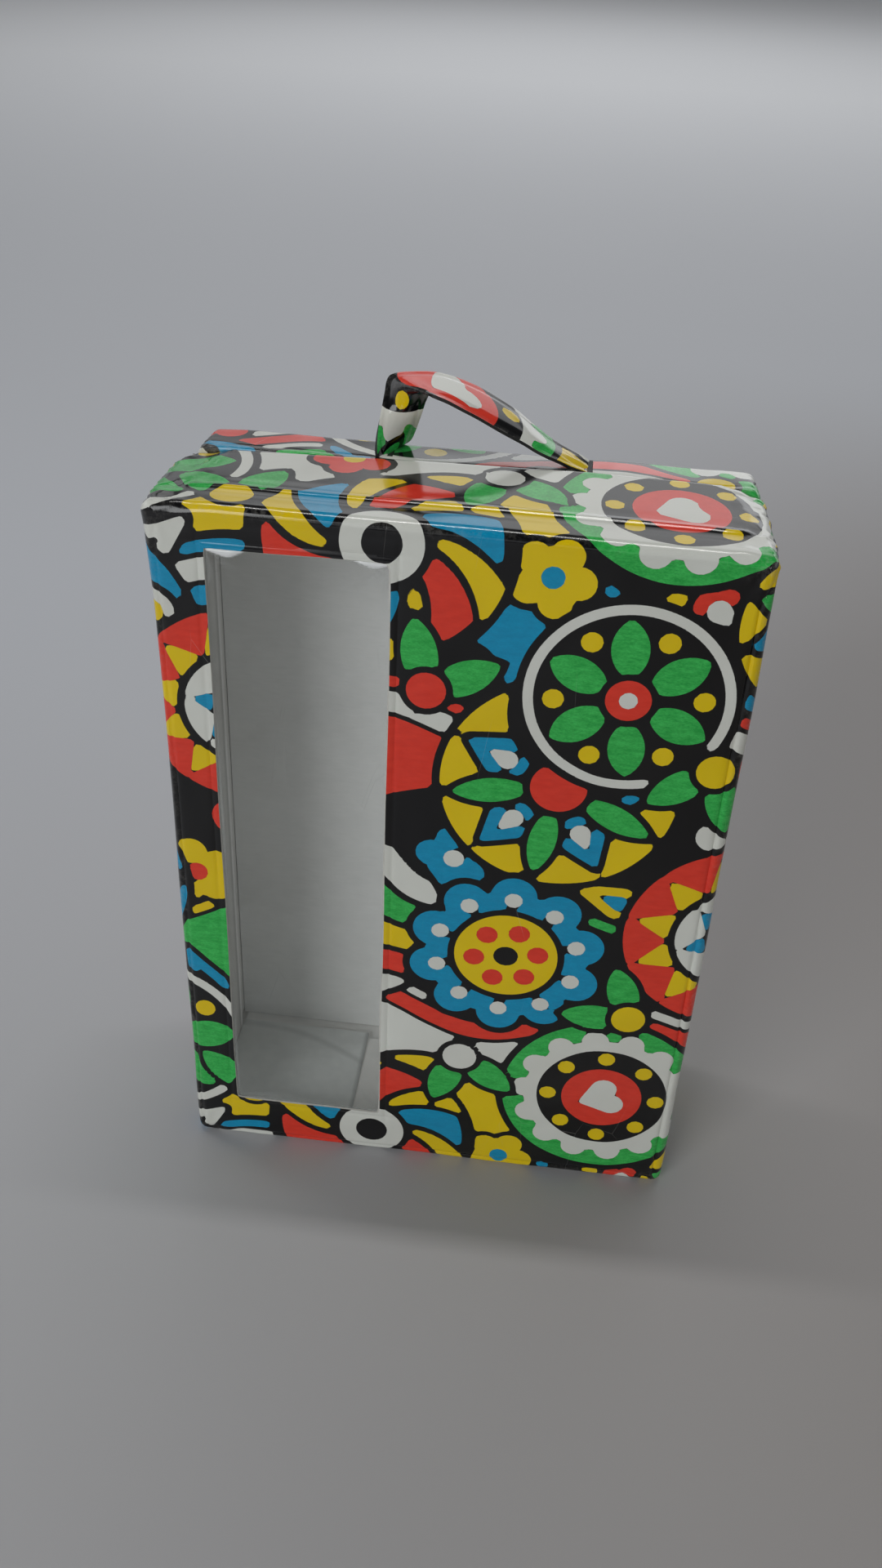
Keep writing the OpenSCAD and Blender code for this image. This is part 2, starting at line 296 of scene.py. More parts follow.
def lay_print(p):
    n = 6
    band = TILE_V / n
    order = ("blue", "yellow", "white", "green", None, "red")

    def edge(k):
        x = p.u * 2 * math.pi / TILE_U
        return 6.5 * np.sin(3 * x + 1.9 * k) + 2.5 * np.sin(2 * x + 0.7 * k)

    for k in range(n):
        _, y = p.at(0, band * (k + 0.5))
        s = np.maximum(y - band / 2 - edge(k + 1), edge(k if k else n) - band / 2 - y) * 0.93
        p.lay(s + 1.3, order[k])
    # stripes that follow the edges of some bands
    for k, ink in ((2, "red"), (5, "white"), (0, "white"), (3, "yellow")):
        _, y = p.at(0, band * (k + 0.5))
        p.lay(np.abs(y - band / 2 - edge(k + 1) + 10.5) * 0.93 - 3.4, ink, 1.6)
    # small motifs on the bands
    for cu, cv, r, t, ink, eye in (
        (88, 12, 14, 0.4, "white", "red"), (178, 40, 13, 1.1, "yellow", "blue"), (20, 84, 13, 0.2, "white", "yellow"),
        (112, 99, 13, 2.0, "red", "yellow"), (203, 121, 14, 0.9, "white", "blue"), (66, 165, 14, 0.5, "yellow", "red"),
        (154, 182, 13, 1.7, "blue", "white"), (243, 206, 14, 0.1, "white", "red"),
    ):
        s_blossom(p, cu, cv, r, t, ink, eye)
    for cu, cv, r, t, ink, eye in (
        (60, 40, 15, 0.7, "white", "blue"), (150, 12, 14, 2.4, "green", "yellow"), (232, 30, 15, -0.6, "red", "white"),
        (65, 118, 14, 2.0, "blue", "white"), (160, 138, 15, -2.2, "white", "green"),
        (24, 190, 14, -0.9, "white", "red"), (110, 206, 15, 0.3, "green", "white"), (205, 172, 13, 2.8, "yellow", "blue"),
    ):
        s_drop(p, cu, cv, r, t, ink, eye)
    # the discs
    d_petals(p, 34, 10, 37, 0.3)
    d_wheel(p, 128, 46, 38, 0.0)
    d_rings(p, 214, 78, 37, 0.4)
    d_sunburst(p, 250, 158, 37, 0.1)
    d_foliage(p, 46, 84, 36, 0.2)
    d_stripes(p, 116, 152, 36, -0.55)
    d_tulips(p, 186, 214, 38, 0.15)
    d_sunburst(p, 84, 232, 34, 0.7)
    d_petals(p, 30, 158, 32, 0.1)
    d_foliage(p, 204, 2, 32, 0.6)
    d_tulips(p, 262, 30, 29, 0.9)
    d_scallop(p, 174, 142, 31, 0.9)
    # sprigs laid over where discs meet
    s_sprig(p, 82, 60, 27, 1.75, "green", "yellow")
    s_sprig(p, 160, 92, 26, -1.3, "green", "white")
    s_sprig(p, 78, 190, 27, -0.4, "green", "red")
    s_sprig(p, 220, 118, 25, 2.5, "green", "yellow")
    s_sprig(p, 142, 244, 26, 1.1, "green", "red")
    s_sprig(p, 4, 122, 26, 0.9, "green", "white")
    s_sprig(p, 234, 226, 25, -1.9, "green", "yellow")
    return p


def tile():
    """The five fields over one tile, with slivers of ink too thin to print taken out."""
    u, v = np.meshgrid(np.arange(round(TILE_U / CELL)) * CELL, np.arange(round(TILE_V / CELL)) * CELL)
    near = [(i, j) for i in range(-4, 5) for j in range(-4, 5) if 0 < math.hypot(i, j) <= 4]
    out = {}
    for c, f in lay_print(Print(u, v)).f.items():
        low = f
        for k in near:
            low = np.minimum(low, np.roll(f, k, (0, 1)))
        out[c] = np.where(low < -1.42, f, np.maximum(f, low + 1.42))
    return out


TILE = tile()


def print_fields(u, v):
    a = (np.asarray(u) / SCALE + SHIFT_U) / CELL
    b = (np.asarray(v) / SCALE + SHIFT_V) / CELL
    i, j = np.floor(a).astype(int), np.floor(b).astype(int)
    s, t = a - i, b - j
    out = {}
    for c, f in TILE.items():
        nv, nu = f.shape
        lo = f[j % nv, i % nu] * (1 - s) + f[j % nv, (i + 1) % nu] * s
        hi = f[(j + 1) % nv, i % nu] * (1 - s) + f[(j + 1) % nv, (i + 1) % nu] * s
        out[c] = SCALE * (lo * (1 - t) + hi * t)
    return out


# ---------------------------------------------------------------- meshes
class Sheet:
    """Points, faces, and for each face corner its place on the flat printed vinyl."""

    def __init__(self):
        self.p, self.faces, self.uv, self.mat = [], [], [], []

    def add(self, q):
        self.p.append(q)
        return len(self.p) - 1

    def face(self, idx, uv, mat=0):
        keep = [i for i in range(len(idx)) if idx[i] != idx[i - 1]]
        if len(keep) < 3:
            return
        self.faces.append([idx[i] for i in keep])
        self.uv.append([uv[i] for i in keep])
        self.mat.append(mat)


def vertex_normals(P, faces):
    n = np.zeros_like(P)
    for size in (3, 4):
        f = np.array([q for q in faces if len(q) == size])
        if len(f) == 0:
            continue
        a, b = P[f[:, 2]] - P[f[:, 0]], P[f[:, -1]] - P[f[:, 1]]
        if size == 3:
            a, b = P[f[:, 1]] - P[f[:, 0]], P[f[:, 2]] - P[f[:, 0]]
        c = np.cross(a, b)
        for k in range(size):
            np.add.at(n, f[:, k], c)
    return n / (np.linalg.norm(n, axis=1)[:, None] + 1e-12)


def thicken(sh, P, t, back=1, rim=1):
    """A closed solid: the sheet, its offset copy t mm behind it, and the cut edges between them."""
    N = len(P)
    n = vertex_normals(P, sh.faces)
    t = np.broadcast_to(np.asarray(t, float), (N,))
    Q = np.vstack([P, P - n * t[:, None]])
    faces, uv, mat = list(sh.faces), list(sh.uv), list(sh.mat)
    edges = {}
    for fi, f in enumerate(sh.faces):
        for i in range(len(f)):
            a, b = f[i], f[(i + 1) % len(f)]
            k = (a, b) if a < b else (b, a)
            edges[k] = None if k in edges else (fi, i)
    for fi, f in enumerate(sh.faces):
        faces.append([i + N for i in reversed(f)])
        uv.append(list(reversed(sh.uv[fi])))
        mat.append(back)
    for k, w in edges.items():
        if w is None:
            continue
        fi, i = w
        f, w2 = sh.faces[fi], sh.uv[fi]
        j = (i + 1) % len(f)
        a, b = f[i], f[j]
        faces.append([b, a, a + N, b + N])
        uv.append([w2[j], w2[i], w2[i], w2[j]])
        mat.append(rim)
    return Q, faces, uv, mat


def make_object(name, Q, faces, uv, mat, materials, printed=True, wear=None, sharp=42):
    me = bpy.data.meshes.new(name)
    me.from_pydata((np.asarray(Q) * MM).tolist(), [], faces)
    me.update()
    ob = bpy.data.objects.new(name, me)
    bpy.context.scene.collection.objects.link(ob)
    for m in materials:
        me.materials.append(m)
    me.polygons.foreach_set("material_index", np.array(mat, np.int32))
    me.polygons.foreach_set("use_smooth", np.ones(len(faces), bool))
    me.set_sharp_from_angle(angle=math.radians(sharp))
    if uv is not None:
        flat = np.array([q for f in uv for q in f], float)
        w = me.attributes.new("sheet_u", "FLOAT", "CORNER")
        w.data.foreach_set("value", flat[:, 0].astype(np.float32))
        w = me.attributes.new("sheet_v", "FLOAT", "CORNER")
        w.data.foreach_set("value", flat[:, 1].astype(np.float32))
        if printed:
            for ink, s in print_fields(flat[:, 0], flat[:, 1]).items():
                w = me.attributes.new("ink_" + ink, "FLOAT", "CORNER")
                w.data.foreach_set("value", np.clip(s, -6, 6).astype(np.float32))
    if wear is not None:
        w = me.attributes.new("wear", "FLOAT", "POINT")
        w.data.foreach_set("value", np.asarray(wear, np.float32))
    me.update()
    return ob


def shell(xl, zl, yface, prof, hole, uv_of, flip, arc=6):
    """A covered half of the case: a face with lines xl by zl, and prof, rings of (inset, y, length
    along the sheet), swept round its outline. hole(x0, x1, z0, z1) leaves face cells out, and
    uv_of(x, z) places the print."""
    sh = Sheet()
    x0, x1, z0, z1 = xl[0], xl[-1], zl[0], zl[-1]
    grid = [[sh.add((x, yface, z)) for x in xl] for z in zl]
    for j in range(len(zl) - 1):
        for i in range(len(xl) - 1):
            if hole and hole(xl[i], xl[i + 1], zl[j], zl[j + 1]):
                continue
            q = [grid[j][i], grid[j][i + 1], grid[j + 1][i + 1], grid[j + 1][i]]
            w = [uv_of(xl[i], zl[j]), uv_of(xl[i + 1], zl[j]), uv_of(xl[i + 1], zl[j + 1]), uv_of(xl[i], zl[j + 1])]
            if flip:
                q, w = q[::-1], w[::-1]
            sh.face(q, w)
    # samples round the outline: (centre x, centre z, normal x, normal z, index of the grid point)
    ring = []
    nx, nz = len(xl), len(zl)
    for i in range(nx):
        ring.append((xl[i], z0, 0, -1, grid[0][i], "b", 0))
    for k in range(1, arc):
        t = -math.pi / 2 + k * math.pi / 2 / arc
        ring.append((x1, z0, math.cos(t), math.sin(t), grid[0][-1], "br", k))
    for j in range(nz):
        ring.append((x1, zl[j], 1, 0, grid[j][-1], "r", 0))
    for k in range(1, arc):
        t = k * math.pi / 2 / arc
        ring.append((x1, z1, math.cos(t), math.sin(t), grid[-1][-1], "rt", k))
    for i in reversed(range(nx)):
        ring.append((xl[i], z1, 0, 1, grid[-1][i], "t", 0))
    for k in range(1, arc):
        t = math.pi / 2 + k * math.pi / 2 / arc
        ring.append((x0, z1, math.cos(t), math.sin(t), grid[-1][0], "tl", k))
    for j in reversed(range(nz)):
        ring.append((x0, zl[j], -1, 0, grid[j][0], "l", 0))
    for k in range(1, arc):
        t = math.pi + k * math.pi / 2 / arc
        ring.append((x0, z0, math.cos(t), math.sin(t), grid[0][0], "lb", k))
    M = len(ring)
    idx = [[r[4] for r in ring]]
    for d, y, s in prof[1:]:
        row = []
        for cx, cz, ax, az, _, seg, k in ring:
            o = R - d
            if len(seg) == 2:
                o = max(o, 0.03)
            row.append(sh.add((cx + ax * o, y, cz + az * o)))
        idx.append(row)

    def place(j, k, chart):
        cx, cz, ax, az, _, seg, m = ring[j]
        d, y, s = prof[k]
        rho = max(R - d, 0.0)
        phi = 0.0
        if len(seg) == 2:
            t = math.atan2(az, ax)
            base = {"b": -math.pi / 2, "r": 0.0, "t": math.pi / 2, "l": math.pi}[chart]
            phi = (t - base + math.pi) % (2 * math.pi) - math.pi
        if chart == "b":
            return uv_of(cx + rho * phi, cz - s)
        if chart == "r":
            return uv_of(cx + s, cz + rho * phi)
        if chart == "t":
            return uv_of(cx - rho * phi, cz + s)
        return uv_of(cx - s, cz - rho * phi)

    for j in range(M):
        j2 = (j + 1) % M
        a, b = ring[j], ring[j2]
        if len(a[5]) == 1 and len(b[5]) == 1:
            chart = a[5]
        else:
            seg = a[5] if len(a[5]) == 2 else b[5]
            k = a[6] if len(a[5]) == 2 else 0
            chart = seg[0] if k < arc / 2 else seg[1]
        for k in range(len(prof) - 1):
            q = [idx[k][j], idx[k + 1][j], idx[k + 1][j2], idx[k][j2]]
            w = [place(j, k, chart), place(j, k + 1, chart), place(j2, k + 1, chart), place(j2, k, chart)]
            if flip:
                q, w = q[::-1], w[::-1]
            sh.face(q, w)
    return sh


def profile(yface, sgn, depth, rim, body_step, edge=R, bend=1.0, fine=()):
    """Rings from the face over its fold, along the side, over the rim and inwards by rim mm."""
    out = []
    n = 9 if fine else 6
    for k in range(n + 1):
        t = k * math.pi / 2 / n
        out.append((edge * (1 - math.sin(t)), yface + sgn * edge * (1 - math.cos(t)), edge * t))
    s = edge * math.pi / 2
    mid = [body_step, 0.5, body_step + 0.5] if fine else [body_step]
    ys = spread([edge, edge + 1.2, edge + 2.4, *fine, depth - 6.5, depth - 5.3, depth - 4.5, depth - 3.7, depth - bend],
                [0.6, 0.6, *mid, 0.8, 0.5, 0.5, 1.4])
    for y in ys[1:]:
        out.append((0.0, yface + sgn * y, s + y - edge))
    s += depth - bend - edge
    for k in range(1, 4):
        t = k * math.pi / 2 / 3
        out.append((bend * (1 - math.cos(t)), yface + sgn * (depth - bend + bend * math.sin(t)), s + bend * t))
    s += bend * math.pi / 2
    for d in spread([bend, rim], 1.4)[1:]:
        out.append((d, yface + sgn * depth, s + d - bend))
    return out


# ---- how the vinyl of the front half lies over its boards
def left_bulge(y, z):
    """The side vinyl stands off its board near the top left."""
    yy = y - YF
    b = np.interp(yy, [0, 4, 18, 36, 49, 55, 58.5, 60], [0.8, 2.6, 3.6, 4.8, 4.6, 2.6, 0.4, 0.0])
    return b * np.exp(-((np.maximum(ZT - z, 0) / 36.0) ** 2))


def front_shape(P, N):
    x, y, z = P.T
    yy = y - YF
    D = np.zeros_like(P)
    top = smooth((z - (ZT - 8)) / 6.5)
    fz = np.interp(x, [-108, -96, -85, 84, 96, 108], [0.3, 0.9, 1.3, -0.7, -1.0, -1.8])
    rz = np.interp(x, [-108, -92, -38, 42, 85, 100, 108], [-2.0, -0.9, 0.3, 1.7, 0.8, 0.0, -0.7])
    tt = np.clip(yy / 59, 0, 1)
    ridge = 0.86 * gauss(yy - 18.5, 1.3) - 0.30 * gauss(yy - 14.5, 2.4) - 0.25 * gauss(yy - 22.5, 2.6)
    ridge = ridge * smooth((102 - np.abs(x)) / 8)
    # the fold itself is pressed a little flat
    ridge = ridge - 0.11 * gauss(yy - 2.0, 0.75) * smooth((103 - np.abs(x)) / 5)
    xf = np.interp(yy, [0, 5, 23.9, 42.6, 55.9, 60], [105.5, 105, 102.3, 96.7, 93.2, 89.5])
    d = np.abs(x) - xf
    facet = -0.20 * np.log1p(np.exp(np.clip(d / 0.7, -30, 30))) * 0.7
    crease = 0.35 * gauss(d, 0.9)
    crumple = 0.38 * ripple(x, y, 5, 9.0) * smooth((np.abs(x) - 88) / 12)
    drop_ = fz * (1 - tt) + rz * tt + facet + crease + crumple + 0.10 * ripple(x, y, 3, 60)
    # the boards inside hold the crushed corners up, and the rim's inner edge stays on them
    drop_ = np.where(drop_ < -2.0, -2.0 - 1.1 * (1 - np.exp(np.minimum(drop_ + 2.0, 0) / 1.1)), drop_)
    top = np.where(yy > 58.9, smooth((z - 307.5) / 4.4), top)
    D[:, 2] += top * drop_
    D[:, 2] += smooth((z - (ZT - 3)) / 1.5) * ridge
    # bottom edge, crushed a little at the corners by standing
    low = smooth((9 - z) / 8)
    D[:, 2] += low * smooth((np.abs(x) - 96) / 12) * 0.5 * (0.6 + 0.4 * ripple(x, y, 8, 12))
    # sides
    side = smooth((np.abs(x) - 101) / 6)
    sg = np.sign(x)
    D[:, 0] += -side * (x < 0) * left_bulge(y, z)
    D[:, 0] += sg * side * 0.22 * ripple(y, z, 11, 60)
    near = smooth((np.abs(x) - 96) / 10)
    D[:, 0] += sg * side * 0.20 * ripple(y + 0.3 * z, z, 15, 17) * smooth((z - 285) / 20)
    # weld channels of the side panels: beside the front fold, and beside the rim
    sgrv = 0.40 * gauss(yy - 6.6, 0.75) + 0.42 * gauss(yy - 54.6, 0.75)
    D[:, 0] -= sg * smooth((np.abs(x) - 104) / 3.5) * sgrv * smooth((yy - 4) / 1.2)
    bot = smooth((6 - z) / 4)
    D[:, 2] += bot * (0.32 * gauss(yy - 54.6, 0.75) + 0.30 * gauss(yy - 6.6, 0.75)) * smooth((yy - 4) / 1.2) * smooth((101 - np.abs(x)) / 4)
    # face
    face = smooth((YF + 4.5 - y) / 4)
    gx = 103.5 + 3.4 * smooth((z - 292) / 11) - 0.0 * x
    lx = 105.1 + 0.35 * np.sin(z / 37.0) - 0.3 * smooth((40 - z) / 40)
    groove = 0.92 * gauss(x - gx - 0.3 * np.sin(z / 41.0), 0.75) * smooth((z - 3) / 5)
    groove += 0.74 * gauss(x + lx, 0.72) * smooth((z - 3) / 5) * smooth((306 - z) / 8)
    groove += 0.74 * gauss(z - 3.9 - 0.5 * np.sin(x / 33.0), 0.85) * smooth((106 - np.abs(x)) / 3)
    groove += 0.16 * gauss(z - 306.4, 1.1) * smooth((101 - np.abs(x)) / 6)
    # the weld round the window, with its lines running on a little past each corner
    dx = np.maximum(WX0 - x, x - WX1)
    dz = np.maximum(WZ0 - z, z - WZ1)
    out = np.maximum(dx, dz)
    weld = gauss(out - 2.6, 0.62)
    tail = gauss(dx - 2.6, 0.62) * smooth((9.5 - dz) / 5) * (dz > 2.6) + gauss(dz - 2.6, 0.62) * smooth((9.5 - dx) / 5) * (dx > 2.6)
    groove += 0.36 * weld + 0.24 * tail
    lip = 0.22 * smooth((2.2 - out) / 1.6) * (out >= -0.5)
    crown = 0.55 * smooth((100 - np.abs(x)) / 22) * smooth((z - 6) / 22) * smooth((ZT - 8 - z) / 20) * smooth((out - 3) / 14)
    D[:, 1] += face * (groove - lip - crown)
    even = smooth((out - 2) / 8) * smooth((ZT - 3 - z) / 16)
    D[:, 1] += face * (0.26 * ripple(x, z, 21, 58) + 0.10 * ripple(x, z, 22, 19)) * even
    # pull lines towards the corners
    for sx, sz in ((-1, 1), (1, 1), (-1, 0), (1, 0)):
        cx, cz = sx * 104, (ZT - 4) if sz else 4
        r = np.hypot(x - cx, z - cz)
        t = np.arctan2(z - cz, x - cx)
        D[:, 1] += face * 0.20 * np.sin(9 * t + 1.3 * sx) * gauss(r - 7, 6)
    # corners: the vinyl is gathered there and stands in small folds
    for sx in (-1, 1):
        for cz in (ZT, 0):
            q = np.hypot(np.abs(x - sx * 108), (z - cz))
            k = gauss(q, 7.0)
            pleat = np.sin(yy * 1.15 + 2.0 * sx + cz) * 0.34 * smooth((yy - 3) / 4)
            D[:, 0] += sx * k * pleat
            D[:, 2] += (1 if cz else -1) * k * (pleat * 0.5 - 0.25)
    # the window's cut edge: rounded corners, and not quite straight
    for cx, cz, k in ((WX0, WZ0, 0.45), (WX0, WZ1, 0.35), (WX1, WZ0, 0.45), (WX1, WZ1, 0.85)):
        q = face * gauss(np.hypot(x - cx, z - cz), 1.5) * k
        D[:, 0] += q * (1 if cx == WX0 else -1)
        D[:, 2] += q * (1 if cz == WZ0 else -1)
    rim = face * gauss(out, 1.4)
    D[:, 0] += rim * 0.16 * np.sin(z / 19.0 + 1) * (dx > -2)
    D[:, 2] += rim * 0.16 * np.sin(x / 9.0) * (dz > -2)
    return P + D


def door_shape(P, N):
    x, y, z = P.T
    yy = YB - y
    D = np.zeros_like(P)
    top = np.where(y < 17.5, smooth((z - 308.2) / 1.7), smooth((z - (DZ1 - 8)) / 6.5))
    lift = np.interp(x, [-106, -90, -60, 0, 60, 106], [0.4, 1.1, 0.7, 0.2, 0.3, -0.2])
    sag = -0.5 * gauss(x - STRAP_X0, 16) - 0.5 * gauss(x - STRAP_X1, 16)
    D[:, 2] += top * (lift + 0.9 * np.clip(yy / 24.6, 0, 1) + sag * 0.6 + 0.20 * ripple(x, y, 33, 46) + 0.05 * ripple(x, y, 35, 15))
    side = smooth((np.abs(x) - 99) / 6)
    sg = np.sign(x)
    D[:, 0] += sg * side * 0.2 * ripple(y, z, 36, 55)
    sgrv = 0.40 * gauss(yy - 6.6, 0.75) + 0.42 * gauss(yy - 20.2, 0.75)
    D[:, 0] -= sg * smooth((np.abs(x) - 102) / 3.5) * sgrv * smooth((yy - 4) / 1.2)
    D[:, 2] -= top * 0.34 * gauss(yy - 20.4, 0.8) * smooth((100 - np.abs(x)) / 4)
    bot = smooth((8 - z) / 4)
    D[:, 2] += bot * 0.34 * gauss(yy - 20.2, 0.75) * smooth((100 - np.abs(x)) / 4)
    face = smooth((y - (YB - 4.5)) / 4)
    ex = 106 - np.abs(x)
    ez = np.minimum(z - DZ0, DZ1 - z)
    groove = 0.58 * gauss(ex - 4.7, 0.85) * smooth((ez - 3) / 5) + 0.55 * gauss(ez - 4.6, 0.85) * smooth((ex - 3) / 5)
    e = np.minimum(ex, ez)
    crown = 0.7 * smooth((e - 6) / 26)
    D[:, 1] -= face * (groove - crown * 0.0)
    D[:, 1] += face * (0.30 * ripple(x, z, 41, 66) + 0.10 * ripple(x, z, 42, 21)) * smooth((e - 4) / 10)
    D[:, 1] -= face * 0.35
    for sx in (-1, 1):
        for cz in (DZ1, DZ0):
            q = np.hypot(np.abs(x - sx * 106), (z - cz))
            k = gauss(q, 6.0)
            pleat = np.sin(yy * 1.3 + 2.6 * sx + cz) * 0.28 * smooth((yy - 3) / 4)
            D[:, 0] += sx * k * (pleat - 0.1)
            D[:, 2] += (1 if cz > 10 else -1) * k * (pleat * 0.5 - 0.2)
    return P + D


def fold_wear(P, y0, y1, hw, z0, z1, face_y):
    """1 along the folded edges and corners, 0 elsewhere."""
    x, y, z = P.T
    ex, ez, ey = hw - np.abs(x), np.minimum(z - z0, z1 - z), np.abs(y - face_y)
    rim = np.abs(y - (y1 if face_y == y0 else y0))
    a = np.sort(np.vstack([ex, ez, ey]), axis=0)
    edge = gauss(a[1], 3.0)
    corner = gauss(a[2], 7.5)
    return np.clip(edge * 0.75 + corner * 0.9 + 0.6 * gauss(rim, 1.3), 0, 1)


# ---------------------------------------------------------------- node materials
class Mat:
    def __init__(self, name):
        self.m = bpy.data.materials.new(name)
        self.m.use_nodes = True
        self.t = self.m.node_tree
        self.t.nodes.clear()
        self.out = self.t.nodes.new("ShaderNodeOutputMaterial")
        self.b = self.t.nodes.new("ShaderNodeBsdfPrincipled")
        self.t.links.new(self.b.outputs[0], self.out.inputs["Surface"])
        self.co = self.t.nodes.new("ShaderNodeTexCoord").outputs["Object"]

    def link(self, a, b):
        self.t.links.new(a, b)
        return a

    def attr(self, name):
        n = self.t.nodes.new("ShaderNodeAttribute")
        n.attribute_type = "GEOMETRY"
        n.attribute_name = name
        return n.outputs["Fac"]

    def noise(self, scale, detail=3.0, rough=0.55, stretch=None, dim="3D", offset=(0, 0, 0)):
        n = self.t.nodes.new("ShaderNodeTexNoise")
        n.inputs["Scale"].default_value = scale
        n.inputs["Detail"].default_value = detail
        n.inputs["Roughness"].default_value = rough
        src = self.co
        if stretch or any(offset):
            mp = self.t.nodes.new("ShaderNodeMapping")
            mp.inputs["Scale"].default_value = stretch or (1, 1, 1)
            mp.inputs["Location"].default_value = offset
            self.link(self.co, mp.inputs["Vector"])
            src = mp.outputs["Vector"]
        self.link(src, n.inputs["Vector"])
        return n.outputs["Fac"]

    def voronoi(self, scale, feature="F1", stretch=None):
        n = self.t.nodes.new("ShaderNodeTexVoronoi")
        n.feature = feature
        n.inputs["Scale"].default_value = scale
        src = self.co
        if stretch:
            mp = self.t.nodes.new("ShaderNodeMapping")
            mp.inputs["Scale"].default_value = stretch
            self.link(self.co, mp.inputs["Vector"])
            src = mp.outputs["Vector"]
        self.link(src, n.inputs["Vector"])
        return n.outputs["Distance"]

    def math(self, op, a, b=None, c=None, clamp=False):
        n = self.t.nodes.new("ShaderNodeMath")
        n.operation = op
        n.use_clamp = clamp
        for i, v in enumerate((a, b, c)):
            if v is None:
                continue
            if isinstance(v, (int, float)):
                n.inputs[i].default_value = v
            else:
                self.link(v, n.inputs[i])
        return n.outputs[0]

    def ramp(self, v, a, b, lo=0.0, hi=1.0, smooth_=False):
        n = self.t.nodes.new("ShaderNodeMapRange")
        n.clamp = True
        if smooth_:
            n.interpolation_type = "SMOOTHSTEP"
        self.link(v, n.inputs["Value"])
        for k, w in (("From Min", a), ("From Max", b), ("To Min", lo), ("To Max", hi)):
            n.inputs[k].default_value = w
        return n.outputs["Result"]

    def mix(self, fac, a, b, mode="MIX"):
        n = self.t.nodes.new("ShaderNodeMix")
        n.data_type = "RGBA"
        n.blend_type = mode
        n.clamp_factor = True
        for i, v in ((0, fac), (6, a), (7, b)):
            if isinstance(v, (int, float)):
                n.inputs[i].default_value = v
            elif isinstance(v, tuple):
                n.inputs[i].default_value = (*v[:3], 1.0)
            else:
                self.link(v, n.inputs[i])
        return n.outputs[2]

    def bump(self, height, strength, dist, prev=None):
        n = self.t.nodes.new("ShaderNodeBump")
        n.inputs["Strength"].default_value = strength
        n.inputs["Distance"].default_value = dist
        self.link(height, n.inputs["Height"])
        if prev is not None:
            self.link(prev, n.inputs["Normal"])
        return n.outputs["Normal"]

    def set(self, **kw):
        for k, v in kw.items():
            s = self.b.inputs[k.replace("_", " ")]
            if isinstance(v, (int, float)):
                s.default_value = v
            elif isinstance(v, tuple):
                s.default_value = (*v[:3], 1.0)
            else:
                self.link(v, s)
        return self


def srgb(r, g, b):
    def f(c):
        c /= 255.0
        return c / 12.92 if c <= 0.04045 else ((c + 0.055) / 1.055) ** 2.4
    return (f(r), f(g), f(b))


RED, YELLOW, GREEN, BLUE = srgb(244, 66, 47), srgb(247, 214, 11), srgb(68, 206, 97), srgb(8, 161, 207)
WHITE, BLACK = srgb(234, 236, 228), srgb(6, 6, 8)
GREEN_D = srgb(38, 172, 72)


def printed_vinyl(name):
    m = Mat(name)
    wob = m.ramp(m.noise(700, 3, 0.6), 0.3, 0.7, -0.035, 0.035)
    # each ink has its own mottling, at the scale of a printed film
    fine = m.noise(900, 4, 0.65, stretch=(1.0, 1.0, 2.6))
    mid = m.noise(260, 4, 0.6, stretch=(0.7, 0.7, 2.2))
    big = m.noise(26, 2, 0.5)
    mott = m.math("MULTIPLY", fine, mid)
    green = m.mix(m.ramp(mott, 0.14, 0.36), GREEN_D, GREEN)
    red = m.mix(m.ramp(mid, 0.3, 0.7), srgb(234, 58, 40), RED)
    yellow = m.mix(m.ramp(big, 0.3, 0.7), srgb(240, 206, 8), YELLOW)
    blue = m.mix(m.ramp(mott, 0.12, 0.38), srgb(4, 146, 192), BLUE)
    white = m.mix(m.ramp(big, 0.3, 0.7), srgb(228, 229, 220), WHITE)
    col = m.mix(m.ramp(fine, 0.35, 0.7), BLACK, srgb(13, 13, 16))
    for ink, c in (("red", red), ("yellow", yellow), ("green", green), ("blue", blue), ("white", white)):
        s = m.math("ADD", m.attr("ink_" + ink), wob)
        col = m.mix(m.ramp(s, 0.07, -0.07), col, c)
    # handling: a faint grey film, rubbed and whitened folds, and a few hairline scuffs
    wear = m.attr("wear")
    rub = m.math("MULTIPLY", wear, m.ramp(m.noise(420, 5, 0.7), 0.46, 0.72))
    rub = m.math("MULTIPLY", rub, m.ramp(m.noise(42, 2, 0.5), 0.35, 0.65, 0.25, 1.0))
    col = m.mix(m.math("MULTIPLY", rub, 0.38), col, srgb(196, 192, 184))
    film = m.ramp(m.noise(14, 4, 0.6), 0.45, 0.75, 0.0, 0.03)
    col = m.mix(film, col, srgb(126, 122, 114))
    scr = m.voronoi(34, "DISTANCE_TO_EDGE", stretch=(1.0, 1.0, 0.28))
    scratch = m.math("MULTIPLY", m.ramp(scr, 0.0, 0.0035, 1.0, 0.0), m.ramp(m.noise(22, 2, 0.5), 0.56, 0.66))
    col = m.mix(m.math("MULTIPLY", scratch, 0.14), col, srgb(205, 203, 198))
    rough = m.ramp(m.noise(60, 4, 0.6), 0.3, 0.7, 0.11, 0.15)
    rough = m.math("ADD", rough, m.math("MULTIPLY", rub, 0.22))
    rough = m.math("ADD", rough, m.math("MULTIPLY", scratch, 0.2))
    rough = m.math("ADD", rough, m.ramp(m.noise(9, 3, 0.6), 0.45, 0.8, 0.0, 0.07))
    n1 = m.bump(m.noise(330, 3, 0.55), 0.03, 0.0004)
    n2 = m.bump(m.noise(1500, 2, 0.5), 0.05, 0.00006, n1)
    n3 = m.bump(m.math("MULTIPLY", scratch, -1.0), 0.25, 0.00010, n2)
    m.set(Base_Color=col, Roughness=rough, Normal=n3)
    m.b.inputs["IOR"].default_value = 1.52
    m.b.inputs["Specular IOR Level"].default_value = 0.5
    return m.m


